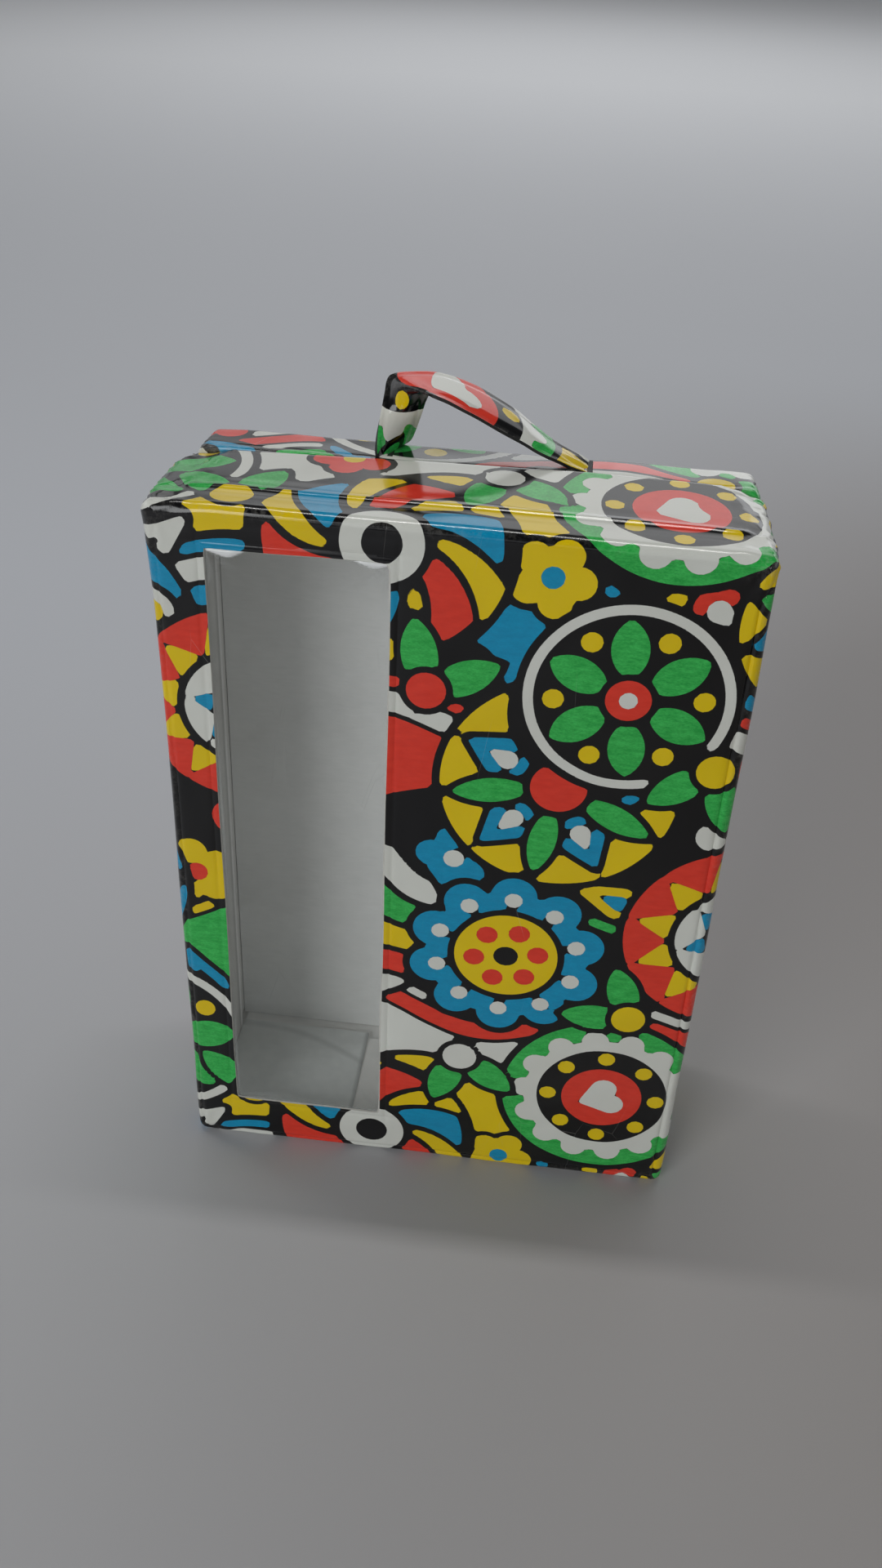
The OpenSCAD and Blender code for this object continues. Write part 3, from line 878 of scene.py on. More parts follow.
def vinyl_back(name, base, tint):
    """The unprinted back and the cut edges of the vinyl."""
    m = Mat(name)
    n = m.noise(300, 4, 0.6)
    col = m.mix(m.ramp(n, 0.3, 0.7), base, tint)
    col = m.mix(m.ramp(m.noise(40, 3, 0.6), 0.5, 0.8, 0.0, 0.10), col, srgb(150, 146, 138))
    m.set(Base_Color=col, Roughness=m.ramp(m.noise(180, 3, 0.5), 0.3, 0.7, 0.42, 0.6),
          Normal=m.bump(m.noise(800, 3, 0.6), 0.2, 0.0002))
    return m.m


def lining_paper(name, lo, hi, stain=0.25, painted_light_mark=None):
    """Pale coated card: fibres, a faint mottled tone, smudges. mark "seam" paints a grey band of shade and then a pale
    highlight along the card's rear edge, and "crease" paints a soft curved band of shade over the flat floor card, with
    painted shadow along its right edge."""
    m = Mat(name)
    fib = m.noise(520, 5, 0.7, stretch=(0.35, 0.35, 2.0))
    col = m.mix(m.ramp(fib, 0.3, 0.7), lo, hi)
    if painted_light_mark:
        sep = m.t.nodes.new("ShaderNodeSeparateXYZ")
        m.link(m.co, sep.inputs[0])
        sx, sy = sep.outputs["X"], m.math("ADD", sep.outputs["Y"], m.ramp(m.noise(40, 2, 0.5), 0.3, 0.7, -0.0003, 0.0003))
    if painted_light_mark == "seam":
        # painted shade and highlight: a grey band just before the card's rear edge, where the corner with the back wall
        # lies in shade, then a pale painted highlight line on the edge itself
        dark = m.math("MULTIPLY", m.ramp(sy, 0.0165, 0.0195, 0.0, 0.30, True), m.ramp(sy, 0.0205, 0.0212, 1.0, 0.0))
        col = m.mix(dark, col, srgb(120, 120, 116))
        col = m.mix(m.ramp(sy, 0.0208, 0.0216, 0.0, 0.9), col, srgb(255, 255, 253))
    if painted_light_mark == "crease":
        # painted shade: a soft grey band along a curve over the floor card; the card's shape is flat, with no crease
        a = m.math("ADD", sx, 0.097)
        line = m.math("SUBTRACT", 0.025, m.math("MULTIPLY", m.math("MULTIPLY", a, a), 5.5))
        off = m.math("ABSOLUTE", m.math("SUBTRACT", sy, line))
        col = m.mix(m.ramp(off, 0.0, 0.0034, 0.34, 0.0, True), col, srgb(132, 136, 134))
        # painted shadow: the strip along the card's right edge is darkened, where the gap beside the partition lies in
        # shade
        col = m.mix(m.ramp(sx, -0.0405, -0.0384, 0.0, 0.55, True), col, srgb(96, 99, 98))
    smudge = m.math("MULTIPLY", m.ramp(m.noise(17, 4, 0.62), 0.50, 0.72), m.ramp(m.noise(70, 3, 0.6), 0.3, 0.7, 0.4, 1.0))
    col = m.mix(m.math("MULTIPLY", smudge, stain), col, srgb(120, 121, 118))
    spot = m.ramp(m.voronoi(95), 0.0, 0.055, 1.0, 0.0)
    spot = m.math("MULTIPLY", spot, m.ramp(m.noise(31, 2, 0.5), 0.60, 0.70))
    col = m.mix(m.math("MULTIPLY", spot, 0.35), col, srgb(96, 92, 84))
    m.set(Base_Color=col, Roughness=m.ramp(m.noise(90, 3, 0.5), 0.3, 0.7, 0.48, 0.68),
          Normal=m.bump(m.noise(300, 4, 0.6), 0.06, 0.0003, m.bump(m.noise(24, 3, 0.5), 0.30, 0.0012)))
    return m.m


def chipboard(name):
    m = Mat(name)
    fleck = m.voronoi(700, stretch=(1, 1, 0.5))
    col = m.mix(m.ramp(m.noise(260, 5, 0.7), 0.3, 0.7), srgb(150, 128, 98), srgb(184, 163, 130))
    col = m.mix(m.ramp(fleck, 0.0, 0.25, 0.5, 0.0), col, srgb(96, 84, 70))
    m.set(Base_Color=col, Roughness=m.ramp(m.noise(200, 3, 0.6), 0.3, 0.7, 0.8, 0.95),
          Normal=m.bump(m.noise(900, 4, 0.7), 0.5, 0.0003))
    return m.m


def metal(name, base, dark, rough):
    m = Mat(name)
    n = m.noise(380, 4, 0.6)
    col = m.mix(m.ramp(n, 0.35, 0.75), base, dark)
    pit = m.ramp(m.voronoi(620), 0.0, 0.10, 1.0, 0.0)
    pit = m.math("MULTIPLY", pit, m.ramp(m.noise(150, 2, 0.5), 0.52, 0.62))
    col = m.mix(m.math("MULTIPLY", pit, 0.7), col, srgb(96, 74, 52))
    m.set(Base_Color=col, Metallic=m.ramp(pit, 0.0, 1.0, 1.0, 0.3),
          Roughness=m.ramp(m.noise(500, 3, 0.6, stretch=(1, 1, 5)), 0.3, 0.7, rough, rough + 0.16),
          Normal=m.bump(m.noise(700, 3, 0.6), 0.18, 0.0002))
    return m.m


def clear_vinyl(name):
    """Clear sheet, a little yellowed and hazy. Where it puckers it is painted near white and opaque, a painted glint,
    and towards grazing angles its pale colour shows as a painted reflection beside its real gloss.
    """
    m = Mat(name)
    lw = m.t.nodes.new("ShaderNodeLayerWeight")
    lw.inputs["Blend"].default_value = 0.22
    puck = m.attr("pucker_painted_glint")
    haze = m.ramp(m.noise(30, 4, 0.6), 0.35, 0.75, 0.02, 0.07)
    hair = m.voronoi(46, "DISTANCE_TO_EDGE", stretch=(1.0, 1.0, 0.3))
    hair = m.math("MULTIPLY", m.ramp(hair, 0.0, 0.003, 1.0, 0.0), m.ramp(m.noise(26, 2, 0.5), 0.55, 0.65, 0.0, 0.12))
    # towards grazing angles the sheet turns more opaque, so its pale colour stands in partly for reflection there, a
    # painted reflection; the pucker mask below makes it nearly opaque and white, a painted glint
    a = m.math("ADD", haze, m.math("MULTIPLY", lw.outputs["Fresnel"], 0.55))
    a = m.math("ADD", a, m.math("MULTIPLY", puck, 0.95))
    a = m.math("ADD", a, hair, clamp=True)
    n = m.bump(m.noise(36, 3, 0.5), 0.35, 0.0010, m.bump(m.noise(420, 2, 0.5), 0.08, 0.0002))
    m.set(Base_Color=m.mix(puck, srgb(206, 210, 208), srgb(250, 252, 252)), Alpha=a,
          Roughness=m.ramp(m.noise(80, 3, 0.5), 0.3, 0.7, 0.09, 0.16), Normal=n)
    m.b.inputs["IOR"].default_value = 1.5
    return m.m


PRINT = printed_vinyl("printed_vinyl")
BACKING = vinyl_back("vinyl_backing", srgb(206, 203, 196), srgb(224, 222, 215))
STRAP_BACK = vinyl_back("strap_back", srgb(20, 20, 23), srgb(34, 34, 37))
SPINE = vinyl_back("spine_vinyl_black", srgb(18, 18, 21), srgb(30, 30, 33))
LINING = lining_paper("lining_card", srgb(240, 242, 239), srgb(247, 248, 246), 0.14)
LINING_SIDE = lining_paper("lining_card_side", srgb(236, 235, 231), srgb(244, 243, 239), 0.18)
# the seam lining carries painted shade and a painted highlight, and the floor card painted shade and painted shadow
LINING_SEAM_PAINTED_LIGHT = lining_paper("lining_card_seam_painted_light", srgb(214, 213, 209), srgb(224, 223, 219), 0.20, "seam")
FLOOR_CARD_PAINTED_SHADE = lining_paper("floor_card_paper_painted_shade", srgb(220, 224, 222), srgb(231, 234, 231), 0.3, "crease")
BOARD = chipboard("chipboard")
SNAP = metal("snap_metal", srgb(196, 194, 188), srgb(150, 148, 142), 0.20)
STAPLE = metal("staple_steel", srgb(176, 176, 178), srgb(128, 128, 130), 0.26)
CLEAR = clear_vinyl("clear_vinyl")

# ---------------------------------------------------------------- front half's printed vinyl
xb = [-104, -102.4, WX0 - 4.2, WX0 - 3.3, WX0 - 2.6, WX0 - 1.9, WX0 - 0.9, WX0, WX1, WX1 + 0.9, WX1 + 1.9, WX1 + 2.6, WX1 + 3.3,
      WX1 + 4.2, 101.6, 102.6, 103.1, 103.6, 104]
xs = [0.8, 1.9, 0.9, 0.7, 0.7, 1, 0.9, 1.9, 0.9, 1, 0.7, 0.7, 0.9, 1.9, 1, 0.5, 0.5, 0.4]
zb = [4, 4.8, 6, WZ0 - 4.2, WZ0 - 3.3, WZ0 - 2.6, WZ0 - 1.9, WZ0 - 0.9, WZ0, WZ1, WZ1 + 0.9, WZ1 + 1.9, WZ1 + 2.6, WZ1 + 3.3, WZ1 + 4.2, 305, 308]
zs = [0.8, 0.8, 1.9, 0.9, 0.7, 0.7, 1, 0.9, 1.9, 0.9, 1, 0.7, 0.7, 0.9, 1.5, 1.0]


def window_cell(a, b, c, d):
    return a >= WX0 - 1e-6 and b <= WX1 + 1e-6 and c >= WZ0 - 1e-6 and d <= WZ1 + 1e-6


sh = shell(spread(xb, xs), spread(zb, zs), YF, profile(YF, 1, YP - YF, 4.45, 2.8, fine=(16.4, 20.2)), window_cell, lambda x, z: (x, z), False)
P = np.array(sh.p)
P2 = front_shape(P, None)
out = np.maximum(np.maximum(WX0 - P[:, 0], P[:, 0] - WX1), np.maximum(WZ0 - P[:, 2], P[:, 2] - WZ1))
Q, F, UV, MT = thicken(sh, P2, SKIN + 0.35 * gauss(np.maximum(out, 0), 1.2) * (P[:, 1] < YF + 0.1))
# the hot knife leaves the window's cut edge bevelled and its white backing showing
N = len(P)
cut = np.where((np.abs(out) < 1e-6) & (P[:, 1] < YF + 0.1))[0]
for k, at, way in ((0, WX0, 0.20), (0, WX1, -0.62), (2, WZ0, 0.16), (2, WZ1, -0.50)):
    i = cut[np.abs(P[cut, k] - at) < 1e-6]
    Q[N + i, k] += way * (1 + 0.25 * np.sin(P[i, 2 - k] / 11.0))
wear = fold_wear(P, YF, YP, HW, 0, ZT, YF)
print("front skin", len(F), "faces")
front = make_object("printed_front_cover", Q, F, UV, MT, [PRINT, BACKING], wear=np.tile(wear, 2))
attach(front, "front_case")
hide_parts("front_skin")

# ---------------------------------------------------------------- back half's printed vinyl
xb = [-102, -101.6, -100.8, -100.2, -99, STRAP_X0 - 1.1, STRAP_X0 + 1.1, STRAP_X1 - 1.1, STRAP_X1 + 1.1, 99, 100.2, 100.8, 101.6, 102]
zb = [6, 6.3, 7.2, 8, 304, 304.8, 305.7, 306]
sh = shell(spread(xb, 2.1), spread(zb, 2.1), YB, profile(YB, -1, YB - YD, 1.75, 2.0), None, lambda x, z: (-x + 171, z + 61), True)
P = np.array(sh.p)
# the two slots for the strap, cut in the top
keepf, keepu, keepm = [], [], []
for f, w, k in zip(sh.faces, sh.uv, sh.mat):
    c = P[f].mean(0)
    slot = c[2] > DZ1 - 0.01 and 23.5 < c[1] < 37.5 and min(abs(c[0] - STRAP_X0), abs(c[0] - STRAP_X1)) < 1.1
    if not slot:
        keepf.append(f), keepu.append(w), keepm.append(k)
sh.faces, sh.uv, sh.mat = keepf, keepu, keepm
P2 = door_shape(P, None)
Q, F, UV, MT = thicken(sh, P2, SKIN)
used = np.zeros(len(Q), bool)
for f in F:
    used[f] = True
renum = np.cumsum(used) - 1
Q, wear = Q[used], np.tile(fold_wear(P, YD, YB, DW, DZ0, DZ1, YB), 2)[used]
F = [[int(renum[i]) for i in f] for f in F]
print("door skin", len(F), "faces")
door = make_object("printed_back_cover", Q, F, UV, MT, [PRINT, BACKING], wear=wear)
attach(door, "back_door")
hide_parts("door_skin")

# ---------------------------------------------------------------- clear window sheet
xl = spread([WX0 - 6, WX0, WX1, WX1 + 6], [1.5, 1.6, 1.5])
zl = spread([WZ0 - 6, WZ0, WZ0 + 1.5, WZ0 + 20, WZ1 - 26, WZ1 - 4.4, WZ1, WZ1 + 6], [1.5, 0.4, 1.6, 3.0, 1.3, 0.3, 1.5])
sh = Sheet()
g = [[sh.add((x, -41.15, z)) for x in xl] for z in zl]
for j in range(len(zl) - 1):
    for i in range(len(xl) - 1):
        sh.face([g[j][i], g[j][i + 1], g[j + 1][i + 1], g[j + 1][i]], [(0, 0)] * 4)
P = np.array(sh.p)
x, y, z = P.T
ins = np.minimum(np.minimum(x - WX0, WX1 - x), np.minimum(z - WZ0, WZ1 - z))
inside = smooth(ins / 5)
t = WZ1 - z
# a thin lens of lifted sheet at each end of the top edge, and a finer line between them, painted white and opaque as a
# glint
lens = 0.35 + 3.1 * gauss(x + 81.0, 6.4) + 2.9 * gauss(x + 28.5, 5.4) + 0.20 * np.sin(x * 0.7)
painted_glint = smooth((lens - t) / 0.55) * (0.55 + 0.45 * smooth((lens - 0.5) / 0.8))
dy = -0.9 * smooth((lens - t) / 1.6) * smooth((lens - 0.6) / 1.0)
# faint pulled folds that run down and in from the top corners, and up from the bottom ones, with a painted highlight on
# their crests
for cx, cz, w, a in ((WX0, WZ1, 0.30, 0.9), (WX1, WZ1, 0.30, 0.8), (WX0, WZ0, 0.25, 0.6), (WX1, WZ0, 0.25, 0.5)):
    r = np.hypot(x - cx, z - cz)
    th = np.arctan2(np.abs(z - cz), np.abs(x - cx))
    low = 1.0 if cz == WZ1 else 0.25
    dy += low * a * 0.55 * np.sin(th * 9 + 1.0) * gauss(r - 9, 8) * inside
    painted_glint += low * 0.12 * np.maximum(np.sin(th * 9 + 1.4), 0) ** 3 * gauss(r - 6, 6) * smooth(ins / 1.0)
# painted highlight: a pale line down the window's left edge and along its bottom edge
painted_glint += 0.30 * smooth((0.7 - (x - WX0)) / 0.5) * (0.5 + 0.5 * np.sin(z / 23.0)) + 0.25 * smooth((0.6 - (z - WZ0)) / 0.5)
dy += inside * (0.50 * ripple(x, z, 71, 80) + 0.14 * ripple(x, z, 72, 30)) + inside * 0.35
P2 = P.copy()
P2[:, 1] += np.maximum(dy, -0.75 * smooth(ins / 1.0) - 0.05)
Q, F, UV, MT = thicken(sh, P2, 0.38, back=0, rim=0)
win = make_object("clear_window_sheet", Q, F, None, MT, [CLEAR])
w = win.data.attributes.new("pucker_painted_glint", "FLOAT", "POINT")
w.data.foreach_set("value", np.tile(np.clip(painted_glint, 0, 1), 2).astype(np.float32))
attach(win, "front_case")
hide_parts("window_sheet")


# ---------------------------------------------------------------- strips and straps
def catmull(points, n):
    """Points on a smooth line through the given ones, n to each span."""
    pts = [np.array(p, float) for p in points]
    pts = [2 * pts[0] - pts[1]] + pts + [2 * pts[-1] - pts[-2]]
    out = []
    for i in range(1, len(pts) - 2):
        a, b, c, d = pts[i - 1:i + 3]
        for k in range(n if i < len(pts) - 3 else n + 1):
            t = k / n
            out.append(0.5 * (2 * b + (c - a) * t + (2 * a - 5 * b + 4 * c - d) * t * t + (3 * b - a - 3 * c + d) * t ** 3))
    return np.array(out)


def strip(rows_a, rows_b, cols, uv0, across, flip=False):
    """A strap between two edge lines: rows_a at one edge, rows_b at the other."""
    sh = Sheet()
    n = len(rows_a)
    mid = (rows_a + rows_b) / 2
    s = np.concatenate([[0], np.cumsum(np.linalg.norm(np.diff(mid, axis=0), axis=1))])
    g = [[sh.add(tuple(rows_a[j] * (1 - c) + rows_b[j] * c)) for c in cols] for j in range(n)]
    place = lambda j, i: (uv0[0] + s[j], uv0[1] + cols[i] * across)
    for j in range(n - 1):
        for i in range(len(cols) - 1):
            q = [g[j][i], g[j + 1][i], g[j + 1][i + 1], g[j][i + 1]]
            w = [place(j, i), place(j + 1, i), place(j + 1, i + 1), place(j, i + 1)]
            if flip:
                q, w = q[::-1], w[::-1]
            sh.face(q, w)
    return sh, s


cols = [0, 0.03, 0.07, 0.115, 0.16, 0.25, 0.35, 0.45, 0.55, 0.65, 0.75, 0.84, 0.885, 0.93, 0.97, 1]
# one edge of the strap runs up the back of the leg and along the back of the slope, the other
# up its right side and along the front of the slope
e1 = [(-33.2, 24.6, 308.6), (-34.6, 23.4, 309.8), (-37.2, 21.8, 311.2), (-37.9, 23.6, 316.0), (-37.7, 29.5, 324.0), (-37.3, 36.0, 330.8),
      (-36.9, 40.0, 334.6), (-34.8, 41.0, 336.6), (-28.5, 41.2, 337.8), (-16.6, 41.0, 338.3), (-2.8, 40.9, 334.6), (11.3, 40.7, 327.6),
      (20.0, 39.9, 321.9), (27.6, 38.9, 317.2), (35.6, 38.1, 313.0), (40.4, 37.2, 311.0), (42.4, 36.6, 309.9), (42.9, 36.4, 308.6)]
e2 = [(-32.8, 36.8, 308.6), (-30.6, 38.2, 309.8), (-27.2, 39.8, 311.6), (-25.0, 39.0, 316.4), (-22.6, 33.4, 324.0), (-20.4, 26.0, 331.4),
      (-18.9, 20.9, 335.9), (-17.4, 20.0, 336.9), (-13.6, 19.8, 335.9), (-7.4, 19.7, 334.0), (6.1, 19.7, 328.0), (17.0, 19.8, 323.4),
      (22.8, 20.2, 319.8), (28.1, 20.7, 316.4), (34.6, 22.0, 312.9), (39.6, 23.6, 311.0), (42.2, 24.4, 309.9), (42.9, 24.6, 308.6)]
ra, rb = catmull(e1, 5), catmull(e2, 5)
sh, s = strip(rb, ra, cols, (30, 40), 22.0)
P = np.array(sh.p).reshape(len(ra), len(cols), 3)
nrm = np.cross(np.gradient(P, axis=0), np.gradient(P, axis=1))
nrm /= np.linalg.norm(nrm, axis=2)[:, :, None] + 1e-9
c = np.array(cols)[None, :]
ss = s[:, None]
L = s[-1]
crown = 0.55 * np.sin(c * math.pi) * smooth(ss / 8) * smooth((L - ss) / 8)
welt = -0.32 * (gauss(c - 0.115, 0.022) + gauss(c - 0.885, 0.022)) * smooth(ss / 5) * smooth((L - ss) / 5)
curl = -1.1 * smooth((0.20 - c) / 0.2) * smooth((ss - 34) / 14) * smooth((L - 12 - ss) / 14)
wave = 0.28 * ripple(ss + 0 * c, c * 22, 81, 26) * smooth(ss / 6) * smooth((L - ss) / 6)
puck = 0.45 * np.sin(c * 14 + 1) * gauss(ss - (L - 6), 6)
P = P + nrm * (crown + welt + curl + wave + puck)[:, :, None]
sh.p = P.reshape(-1, 3).tolist()
Q, F, UV, MT = thicken(sh, np.array(sh.p), 1.3, back=1, rim=1)
wear = np.broadcast_to(0.55 * (gauss(c, 0.05) + gauss(1 - c, 0.05)) + 0.7 * gauss(ss - 27, 3), (len(ra), len(cols))).ravel()
strap = make_object("printed_strap_handle", Q, F, UV, MT, [PRINT, STRAP_BACK], wear=np.tile(np.clip(wear, 0, 1), 2), sharp=50)
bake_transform(strap)
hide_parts("handle_strap")

# ---- spine: one strip of black vinyl, welded to both halves, that bows out over the gap
line = [(-108.75, 3.0), (-108.75, 5.0), (-108.75, 9.0), (-108.8, 13.0), (-109.15, 14.9), (-109.85, 16.1), (-110.15, 17.1), (-109.6, 18.2),
        (-108.2, 19.0), (-107.0, 19.9), (-106.6, 21.5), (-106.55, 25.0), (-106.55, 29.5), (-106.55, 31.4)]
ln = catmull([(a, b, 0) for a, b in line], 2)
zl = np.array(spread([12, 13.5, 298.5, 300], [0.75, 3.0, 0.75]))
ln_s = np.concatenate([[0], np.cumsum(np.linalg.norm(np.diff(ln, axis=0), axis=1))])
sh = Sheet()
g = [[sh.add((a[0], a[1], z)) for a in ln] for z in zl]
for j in range(len(zl) - 1):
    for i in range(len(ln) - 1):
        sh.face([g[j][i], g[j + 1][i], g[j + 1][i + 1], g[j][i + 1]], [(0, 0)] * 4)
P = np.array(sh.p)
x, y, z = P.T
s2 = np.tile(ln_s, len(zl))
weld = 0.16 * (gauss(s2 - 3.0, 0.8) + gauss(ln_s[-1] - s2 - 3.0, 0.8))
P[:, 0] += weld - 0.10 * ripple(y, z, 91, 24) - left_bulge(np.minimum(y, 17.0), z) * smooth((17.4 - y) / 1.5) - 0.05
Q, F, UV, MT = thicken(sh, P, 0.5, back=0, rim=0)
spine = make_object("vinyl_spine_hinge", Q, F, None, MT, [SPINE])
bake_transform(spine)
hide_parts("spine_front_leaf", "spine_door_leaf")

# ---- closure strap on the right side: root on the door, round-ended tab over the front half
zc = 162.0
path = [(107.05, 33.0), (107.05, 30.0), (107.1, 25.0), (107.25, 22.2), (107.9, 20.6), (108.75, 19.2), (109.05, 17.0), (109.05, 10.0),
        (109.1, 0.0), (109.1, -12.0), (109.1, -24.0)]
ln = catmull([(a, b, 0) for a, b in path], 6)
sh = Sheet()
hh = 12.0
ws = [-1, -0.97, -0.92, -0.86, -0.80, -0.74, -0.6, -0.4, -0.2, 0, 0.2, 0.4, 0.6, 0.74, 0.80, 0.86, 0.92, 0.97, 1]
keep = []
for a in ln:
    if a[1] > -12:
        keep.append((a[0], a[1], hh))
for k in range(1, 13):
    t = k / 12 * (math.pi / 2)
    keep.append((109.1, -12 - 12 * math.sin(t), max(hh * math.cos(t), 0.25)))
ls = np.concatenate([[0], np.cumsum([math.dist(keep[i][:2], keep[i + 1][:2]) for i in range(len(keep) - 1)])])
g = [[sh.add((a[0], a[1], zc + w * a[2])) for w in ws] for a in keep]
for j in range(len(keep) - 1):
    for i in range(len(ws) - 1):
        w = [(ls[j] + 90, keep[j][2] * ws[i] + 60), (ls[j] + 90, keep[j][2] * ws[i + 1] + 60),
             (ls[j + 1] + 90, keep[j + 1][2] * ws[i + 1] + 60), (ls[j + 1] + 90, keep[j + 1][2] * ws[i] + 60)]
        sh.face([g[j][i], g[j][i + 1], g[j + 1][i + 1], g[j + 1][i]], w)
P = np.array(sh.p)
x, y, z = P.T
hl = np.repeat([q[2] for q in keep], len(ws))
d_edge = np.minimum(np.minimum(hl - np.abs(z - zc), 33.0 - y), np.where(y < -12, 12 - np.hypot(y + 12, z - zc), 50))
P[:, 0] += -0.30 * gauss(d_edge - 2.4, 0.65) - 0.25 * smooth((1.0 - d_edge) / 1.0) + 0.10 * ripple(y, z, 95, 18)
P[:, 0] -= 0.45 * gauss(np.hypot(y - 1, z - zc), 7.0) + 0.25 * gauss(np.hypot(y - 27, z - zc), 4.0)
Q, F, UV, MT = thicken(sh, P, 0.85, back=1, rim=1)
wr = np.clip(gauss(d_edge, 1.2), 0, 1) * 0.6
tab = make_object("closure_strap", Q, F, UV, MT, [PRINT, STRAP_BACK], wear=np.tile(wr, 2))
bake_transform(tab)
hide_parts("closure_root", "closure_tab")

# ---------------------------------------------------------------- boards, bent as the vinyl over them lies
def board(name, body, axis, outer, inner, lo, hi, surface, hole=None, step=4.0, breaks=((), ())):
    """Board whose outer face follows the vinyl, and whose inner face is flat. lo and hi are its extent along the
    other two axes, and surface(points) gives where the outer face lies along its own axis."""
    others = [k for k in range(3) if k != axis]
    la = spread(sorted({lo[0], hi[0], *breaks[0]}), step)
    lb = spread(sorted({lo[1], hi[1], *breaks[1]}), step)
    sh = Sheet()

    def pt(a, b):
        q = [0.0, 0.0, 0.0]
        q[axis], q[others[0]], q[others[1]] = outer, a, b
        return q

    g = [[sh.add(pt(a, b)) for a in la] for b in lb]
    turn = (outer > inner) == (axis != 1)
    for j in range(len(lb) - 1):
        for i in range(len(la) - 1):
            if hole and hole((la[i] + la[i + 1]) / 2, (lb[j] + lb[j + 1]) / 2):
                continue
            q = [g[j][i], g[j][i + 1], g[j + 1][i + 1], g[j + 1][i]]
            sh.face(q if turn else q[::-1], [(0, 0)] * 4)
    P = np.array(sh.p)
    P2 = P.copy()
    P2[:, axis] = surface(P)
    used = sorted({i for f in sh.faces for i in f})
    P2[:, axis] += (0.05 if outer < inner else -0.05) * (1 + ripple(P[:, others[0]], P[:, others[1]], 7, 30))
    Q, F, UV, MT = thicken(sh, P2, 1.0)
    Q[len(P):] = P
    Q[len(P):, axis] = inner
    keep = np.zeros(len(Q), bool)
    keep[used] = keep[[i + len(P) for i in used]] = True
    new = np.cumsum(keep) - 1
    ob = make_object(name + "_bent", Q[keep], [[int(new[i]) for i in f] for f in F], None, MT,
                     [BOARD, LINING_SIDE if body == "back_door" else BOARD])
    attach(ob, body)
    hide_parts(name)
    return ob


GAP = 0.62


def over(shape, axis, plane, sign):
    """Where the back of the vinyl is, along that axis, over points of a board."""
    def f(P):
        q = P.copy()
        q[:, axis] = plane
        w = shape(q, None)[:, axis]
        return w - sign * GAP
    return f


def least(f, k, sign):
    return lambda P: np.minimum(f(P), k) if sign > 0 else np.maximum(f(P), k)


pan_hole = lambda a, b: -95.3 < a < -15.5 and 18.6 < b < 304.4
board("front_panel_board", "front_case", 1, -41.55, -38.95, (-103.4, 4.6), (103.4, 307.4), lambda P: np.full(len(P), -40.75),
      hole=pan_hole, breaks=((-95.3, -15.5), (18.6, 304.4)))
board("front_top_board", "front_case", 2, 311.55, 307.55, (-104, -38), (104, 16.4), least(over(front_shape, 2, 312.0, 1), 311.5, 1), step=2.5)
board("front_bottom_board", "front_case", 2, 0.45, 4.45, (-104, -38), (104, 16.4), least(over(front_shape, 2, 0.0, -1), 0.5, -1))
worn = lambda P: 2.6 * smooth((P[:, 2] - 300) / 6.5)       # their top ends are crushed with the corners
board("front_left_board", "front_case", 0, -107.55, -103.55, (-38, 4.5), (16.4, 307.5),
      lambda P: np.maximum(over(front_shape, 0, -108.0, -1)(P), -107.4) + worn(P))
board("front_right_board", "front_case", 0, 107.55, 103.55, (-38, 4.5), (16.4, 307.5),
      lambda P: np.minimum(over(front_shape, 0, 108.0, 1)(P), 107.4) - worn(P))
slot_hole = lambda a, b: 23.5 < b < 37.5 and min(abs(a - STRAP_X0), abs(a - STRAP_X1)) < 1.1
board("door_top_board", "back_door", 2, 309.55, 308.25, (-102, 18.0), (102, 38), lambda P: np.minimum(over(door_shape, 2, 310.0, 1)(P), 309.5), hole=slot_hole,
      breaks=((STRAP_X0 - 1.1, STRAP_X0 + 1.1, STRAP_X1 - 1.1, STRAP_X1 + 1.1), (23.5, 37.5)))
board("door_bottom_board", "back_door", 2, 2.45, 3.75, (-102, 18.0), (102, 38), lambda P: np.maximum(over(door_shape, 2, 2.0, -1)(P), 2.5))
board("door_left_board", "back_door", 0, -105.55, -104.25, (18.0, 6), (38, 306), lambda P: np.maximum(over(door_shape, 0, -106.0, -1)(P), -105.45))
board("door_right_board", "back_door", 0, 105.55, 104.25, (18.0, 6), (38, 306), lambda P: np.minimum(over(door_shape, 0, 106.0, 1)(P), 105.45))
board("door_back_board", "back_door", 1, 41.55, 39.15, (-102, 6), (102, 306), lambda P: np.full(len(P), 40.2))

# ---------------------------------------------------------------- CAD nodes that keep their own shape
by_node = {
    "front_liner": LINING, "collar_top": LINING_SIDE, "collar_bottom": LINING_SIDE, "collar_left": LINING_SEAM_PAINTED_LIGHT,
    "collar_right": LINING_SIDE, "compartment_partition": LINING_SIDE, "door_liner": LINING, "floor_card": FLOOR_CARD_PAINTED_SHADE,
    "strap_end_left": STRAP_BACK, "strap_end_right": STRAP_BACK, "handle_staples": STAPLE, "closure_rivet": SNAP,
    "snap_cap": SNAP, "snap_stud": SNAP,
}
for name, mat in by_node.items():
    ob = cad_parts[name]
    if not ob.material_slots:
        ob.data.materials.append(mat)
    for sl in ob.material_slots:
        sl.material = mat

# ---------------------------------------------------------------- floor, light, camera
me = bpy.data.meshes.new("floor")
S = 40.0
me.from_pydata([(-S, -S, 0), (S, -S, 0), (S, S, 0), (-S, S, 0)], [], [(0, 1, 2, 3)])
floor = bpy.data.objects.new("floor", me)
bpy.context.scene.collection.objects.link(floor)
fm = Mat("floor_painted_light_falloff")
sep = fm.t.nodes.new("ShaderNodeSeparateXYZ")
fm.link(fm.co, sep.inputs[0])
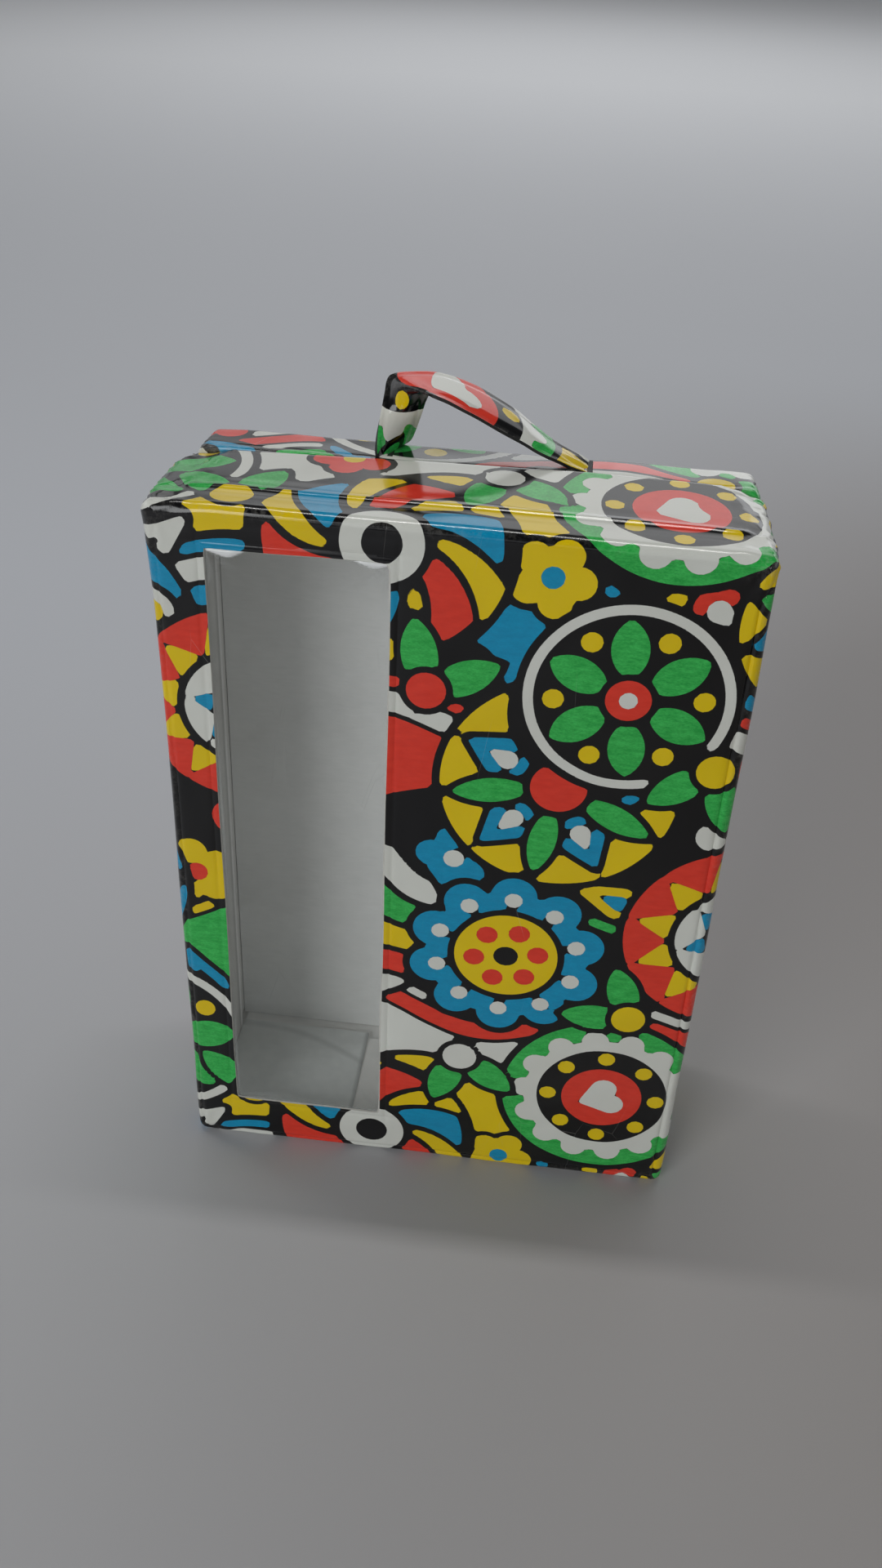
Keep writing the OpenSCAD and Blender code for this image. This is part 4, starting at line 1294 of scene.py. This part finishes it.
# painted light fall-off: the floor is darker near the camera and paler far off
near = fm.ramp(sep.outputs["Y"], -0.3, 0.6, 0.0, 1.0, True)
far = fm.ramp(sep.outputs["Y"], 0.5, 4.0, 0.0, 1.0)
col = fm.mix(near, (0.55, 0.55, 0.565), (0.71, 0.73, 0.775))
col = fm.mix(far, col, (0.92, 0.93, 0.95))
# painted shadow: the floor is darker and warmer to the right of the case, short of the far floor
side = fm.math("MULTIPLY", fm.ramp(sep.outputs["X"], -0.25, 0.45, 0.0, 1.0, True), fm.ramp(sep.outputs["Y"], 0.45, 1.3, 1.0, 0.0, True))
col = fm.mix(side, col, fm.mix(1.0, col, (0.66, 0.61, 0.56), "MULTIPLY"))
fm.set(Base_Color=col, Roughness=fm.ramp(fm.noise(3, 3, 0.5), 0.3, 0.7, 0.75, 0.85), Normal=fm.bump(fm.noise(60, 3, 0.5), 0.05, 0.001))
fm.b.inputs["Specular IOR Level"].default_value = 0.12
me.materials.append(fm.m)

world = bpy.data.worlds.new("studio")
bpy.context.scene.world = world
world.use_nodes = True
wt = world.node_tree
wt.nodes.clear()
wo = wt.nodes.new("ShaderNodeOutputWorld")
bg = wt.nodes.new("ShaderNodeBackground")
wt.links.new(bg.outputs[0], wo.inputs[0])
tc = wt.nodes.new("ShaderNodeTexCoord")
sx = wt.nodes.new("ShaderNodeSeparateXYZ")
wt.links.new(tc.outputs["Generated"], sx.inputs[0])
cr = wt.nodes.new("ShaderNodeValToRGB")
wt.links.new(sx.outputs["Z"], cr.inputs[0])
cr.color_ramp.interpolation = "EASE"
els = cr.color_ramp.elements
els[0].position, els[0].color = 0.0, (0.42, 0.425, 0.43, 1)
els[1].position, els[1].color = 1.0, (0.06, 0.06, 0.063, 1)
for pos, val in ((0.06, 0.72), (0.275, 0.92), (0.335, 0.13), (0.70, 0.08)):
    e = els.new(pos)
    e.color = (val * 0.98, val * 0.995, val * 1.02, 1)
ym = wt.nodes.new("ShaderNodeMapRange")
ym.interpolation_type = "SMOOTHSTEP"
for k, w in (("From Min", -0.7), ("From Max", 0.95), ("To Min", 0.60), ("To Max", 1.60)):
    ym.inputs[k].default_value = w
wt.links.new(sx.outputs["Y"], ym.inputs["Value"])
wt.links.new(cr.outputs[0], bg.inputs[0])
# the far side of the room is darker towards the left
xm = wt.nodes.new("ShaderNodeMapRange")
xm.interpolation_type = "SMOOTHSTEP"
for k, w in (("From Min", -0.32), ("From Max", 0.06), ("To Min", 0.62), ("To Max", 0.0)):
    xm.inputs[k].default_value = w
wt.links.new(sx.outputs["X"], xm.inputs["Value"])
fy = wt.nodes.new("ShaderNodeMapRange")
for k, w in (("From Min", 0.35), ("From Max", 0.70), ("To Min", 0.0), ("To Max", 1.0)):
    fy.inputs[k].default_value = w
wt.links.new(sx.outputs["Y"], fy.inputs["Value"])
less = wt.nodes.new("ShaderNodeMath")
less.operation = "MULTIPLY"
wt.links.new(xm.outputs["Result"], less.inputs[0])
wt.links.new(fy.outputs["Result"], less.inputs[1])
keep_ = wt.nodes.new("ShaderNodeMath")
keep_.operation = "SUBTRACT"
keep_.inputs[0].default_value = 1.0
wt.links.new(less.outputs[0], keep_.inputs[1])
amount = wt.nodes.new("ShaderNodeMath")
amount.operation = "MULTIPLY"
wt.links.new(ym.outputs["Result"], amount.inputs[0])
wt.links.new(keep_.outputs[0], amount.inputs[1])
wt.links.new(amount.outputs[0], bg.inputs[1])


def area(name, loc, target, size, power, col, sy=None):
    li = bpy.data.lights.new(name, "AREA")
    li.shape = "RECTANGLE"
    li.size, li.size_y = size, sy or size
    li.energy, li.color = power, col
    ob = bpy.data.objects.new(name, li)
    bpy.context.scene.collection.objects.link(ob)
    d = np.array(target, float) - np.array(loc, float)
    d /= np.linalg.norm(d)
    up = np.array([0, 0, 1.0]) if abs(d[2]) < 0.95 else np.array([0, 1.0, 0])
    r = np.cross(d, up)
    r /= np.linalg.norm(r)
    u = np.cross(r, d)
    ob.matrix_world = Matrix(((r[0], u[0], -d[0], loc[0]), (r[1], u[1], -d[1], loc[1]), (r[2], u[2], -d[2], loc[2]), (0, 0, 0, 1)))
    return ob


area("key_left", (-1.0, -1.92, 1.12), (0, 0, 0.15), 1.1, 17.6, (0.97, 0.99, 1.0))
area("overhead", (-0.15, 0.25, 2.3), (-0.15, 0.2, 0.2), 1.25, 9.5, (1.0, 0.99, 0.97), 0.08)
area("far_floor", (0.0, 4.3, 2.6), (0.0, 4.3, 0), 3.6, 43.0, (0.98, 0.99, 1.0), 3.8)

cam = bpy.data.cameras.new("camera")
cam.sensor_width = 36.0
cam.sensor_fit = "AUTO"
cam.lens = 30.973
cam.clip_start, cam.clip_end = 0.01, 200
co = bpy.data.objects.new("camera", cam)
bpy.context.scene.collection.objects.link(co)
co.matrix_world = Matrix(((0.99271222, -0.09717417, 0.07127146, 0.034597),
                          (0.11334212, 0.55196479, -0.82612858, -0.463341),
                          (0.04093903, 0.828186, 0.55895612, 0.493817),
                          (0, 0, 0, 1)))
bpy.context.scene.camera = co
bpy.context.scene.view_settings.view_transform = "Standard"

bpy.context.view_layer.update()
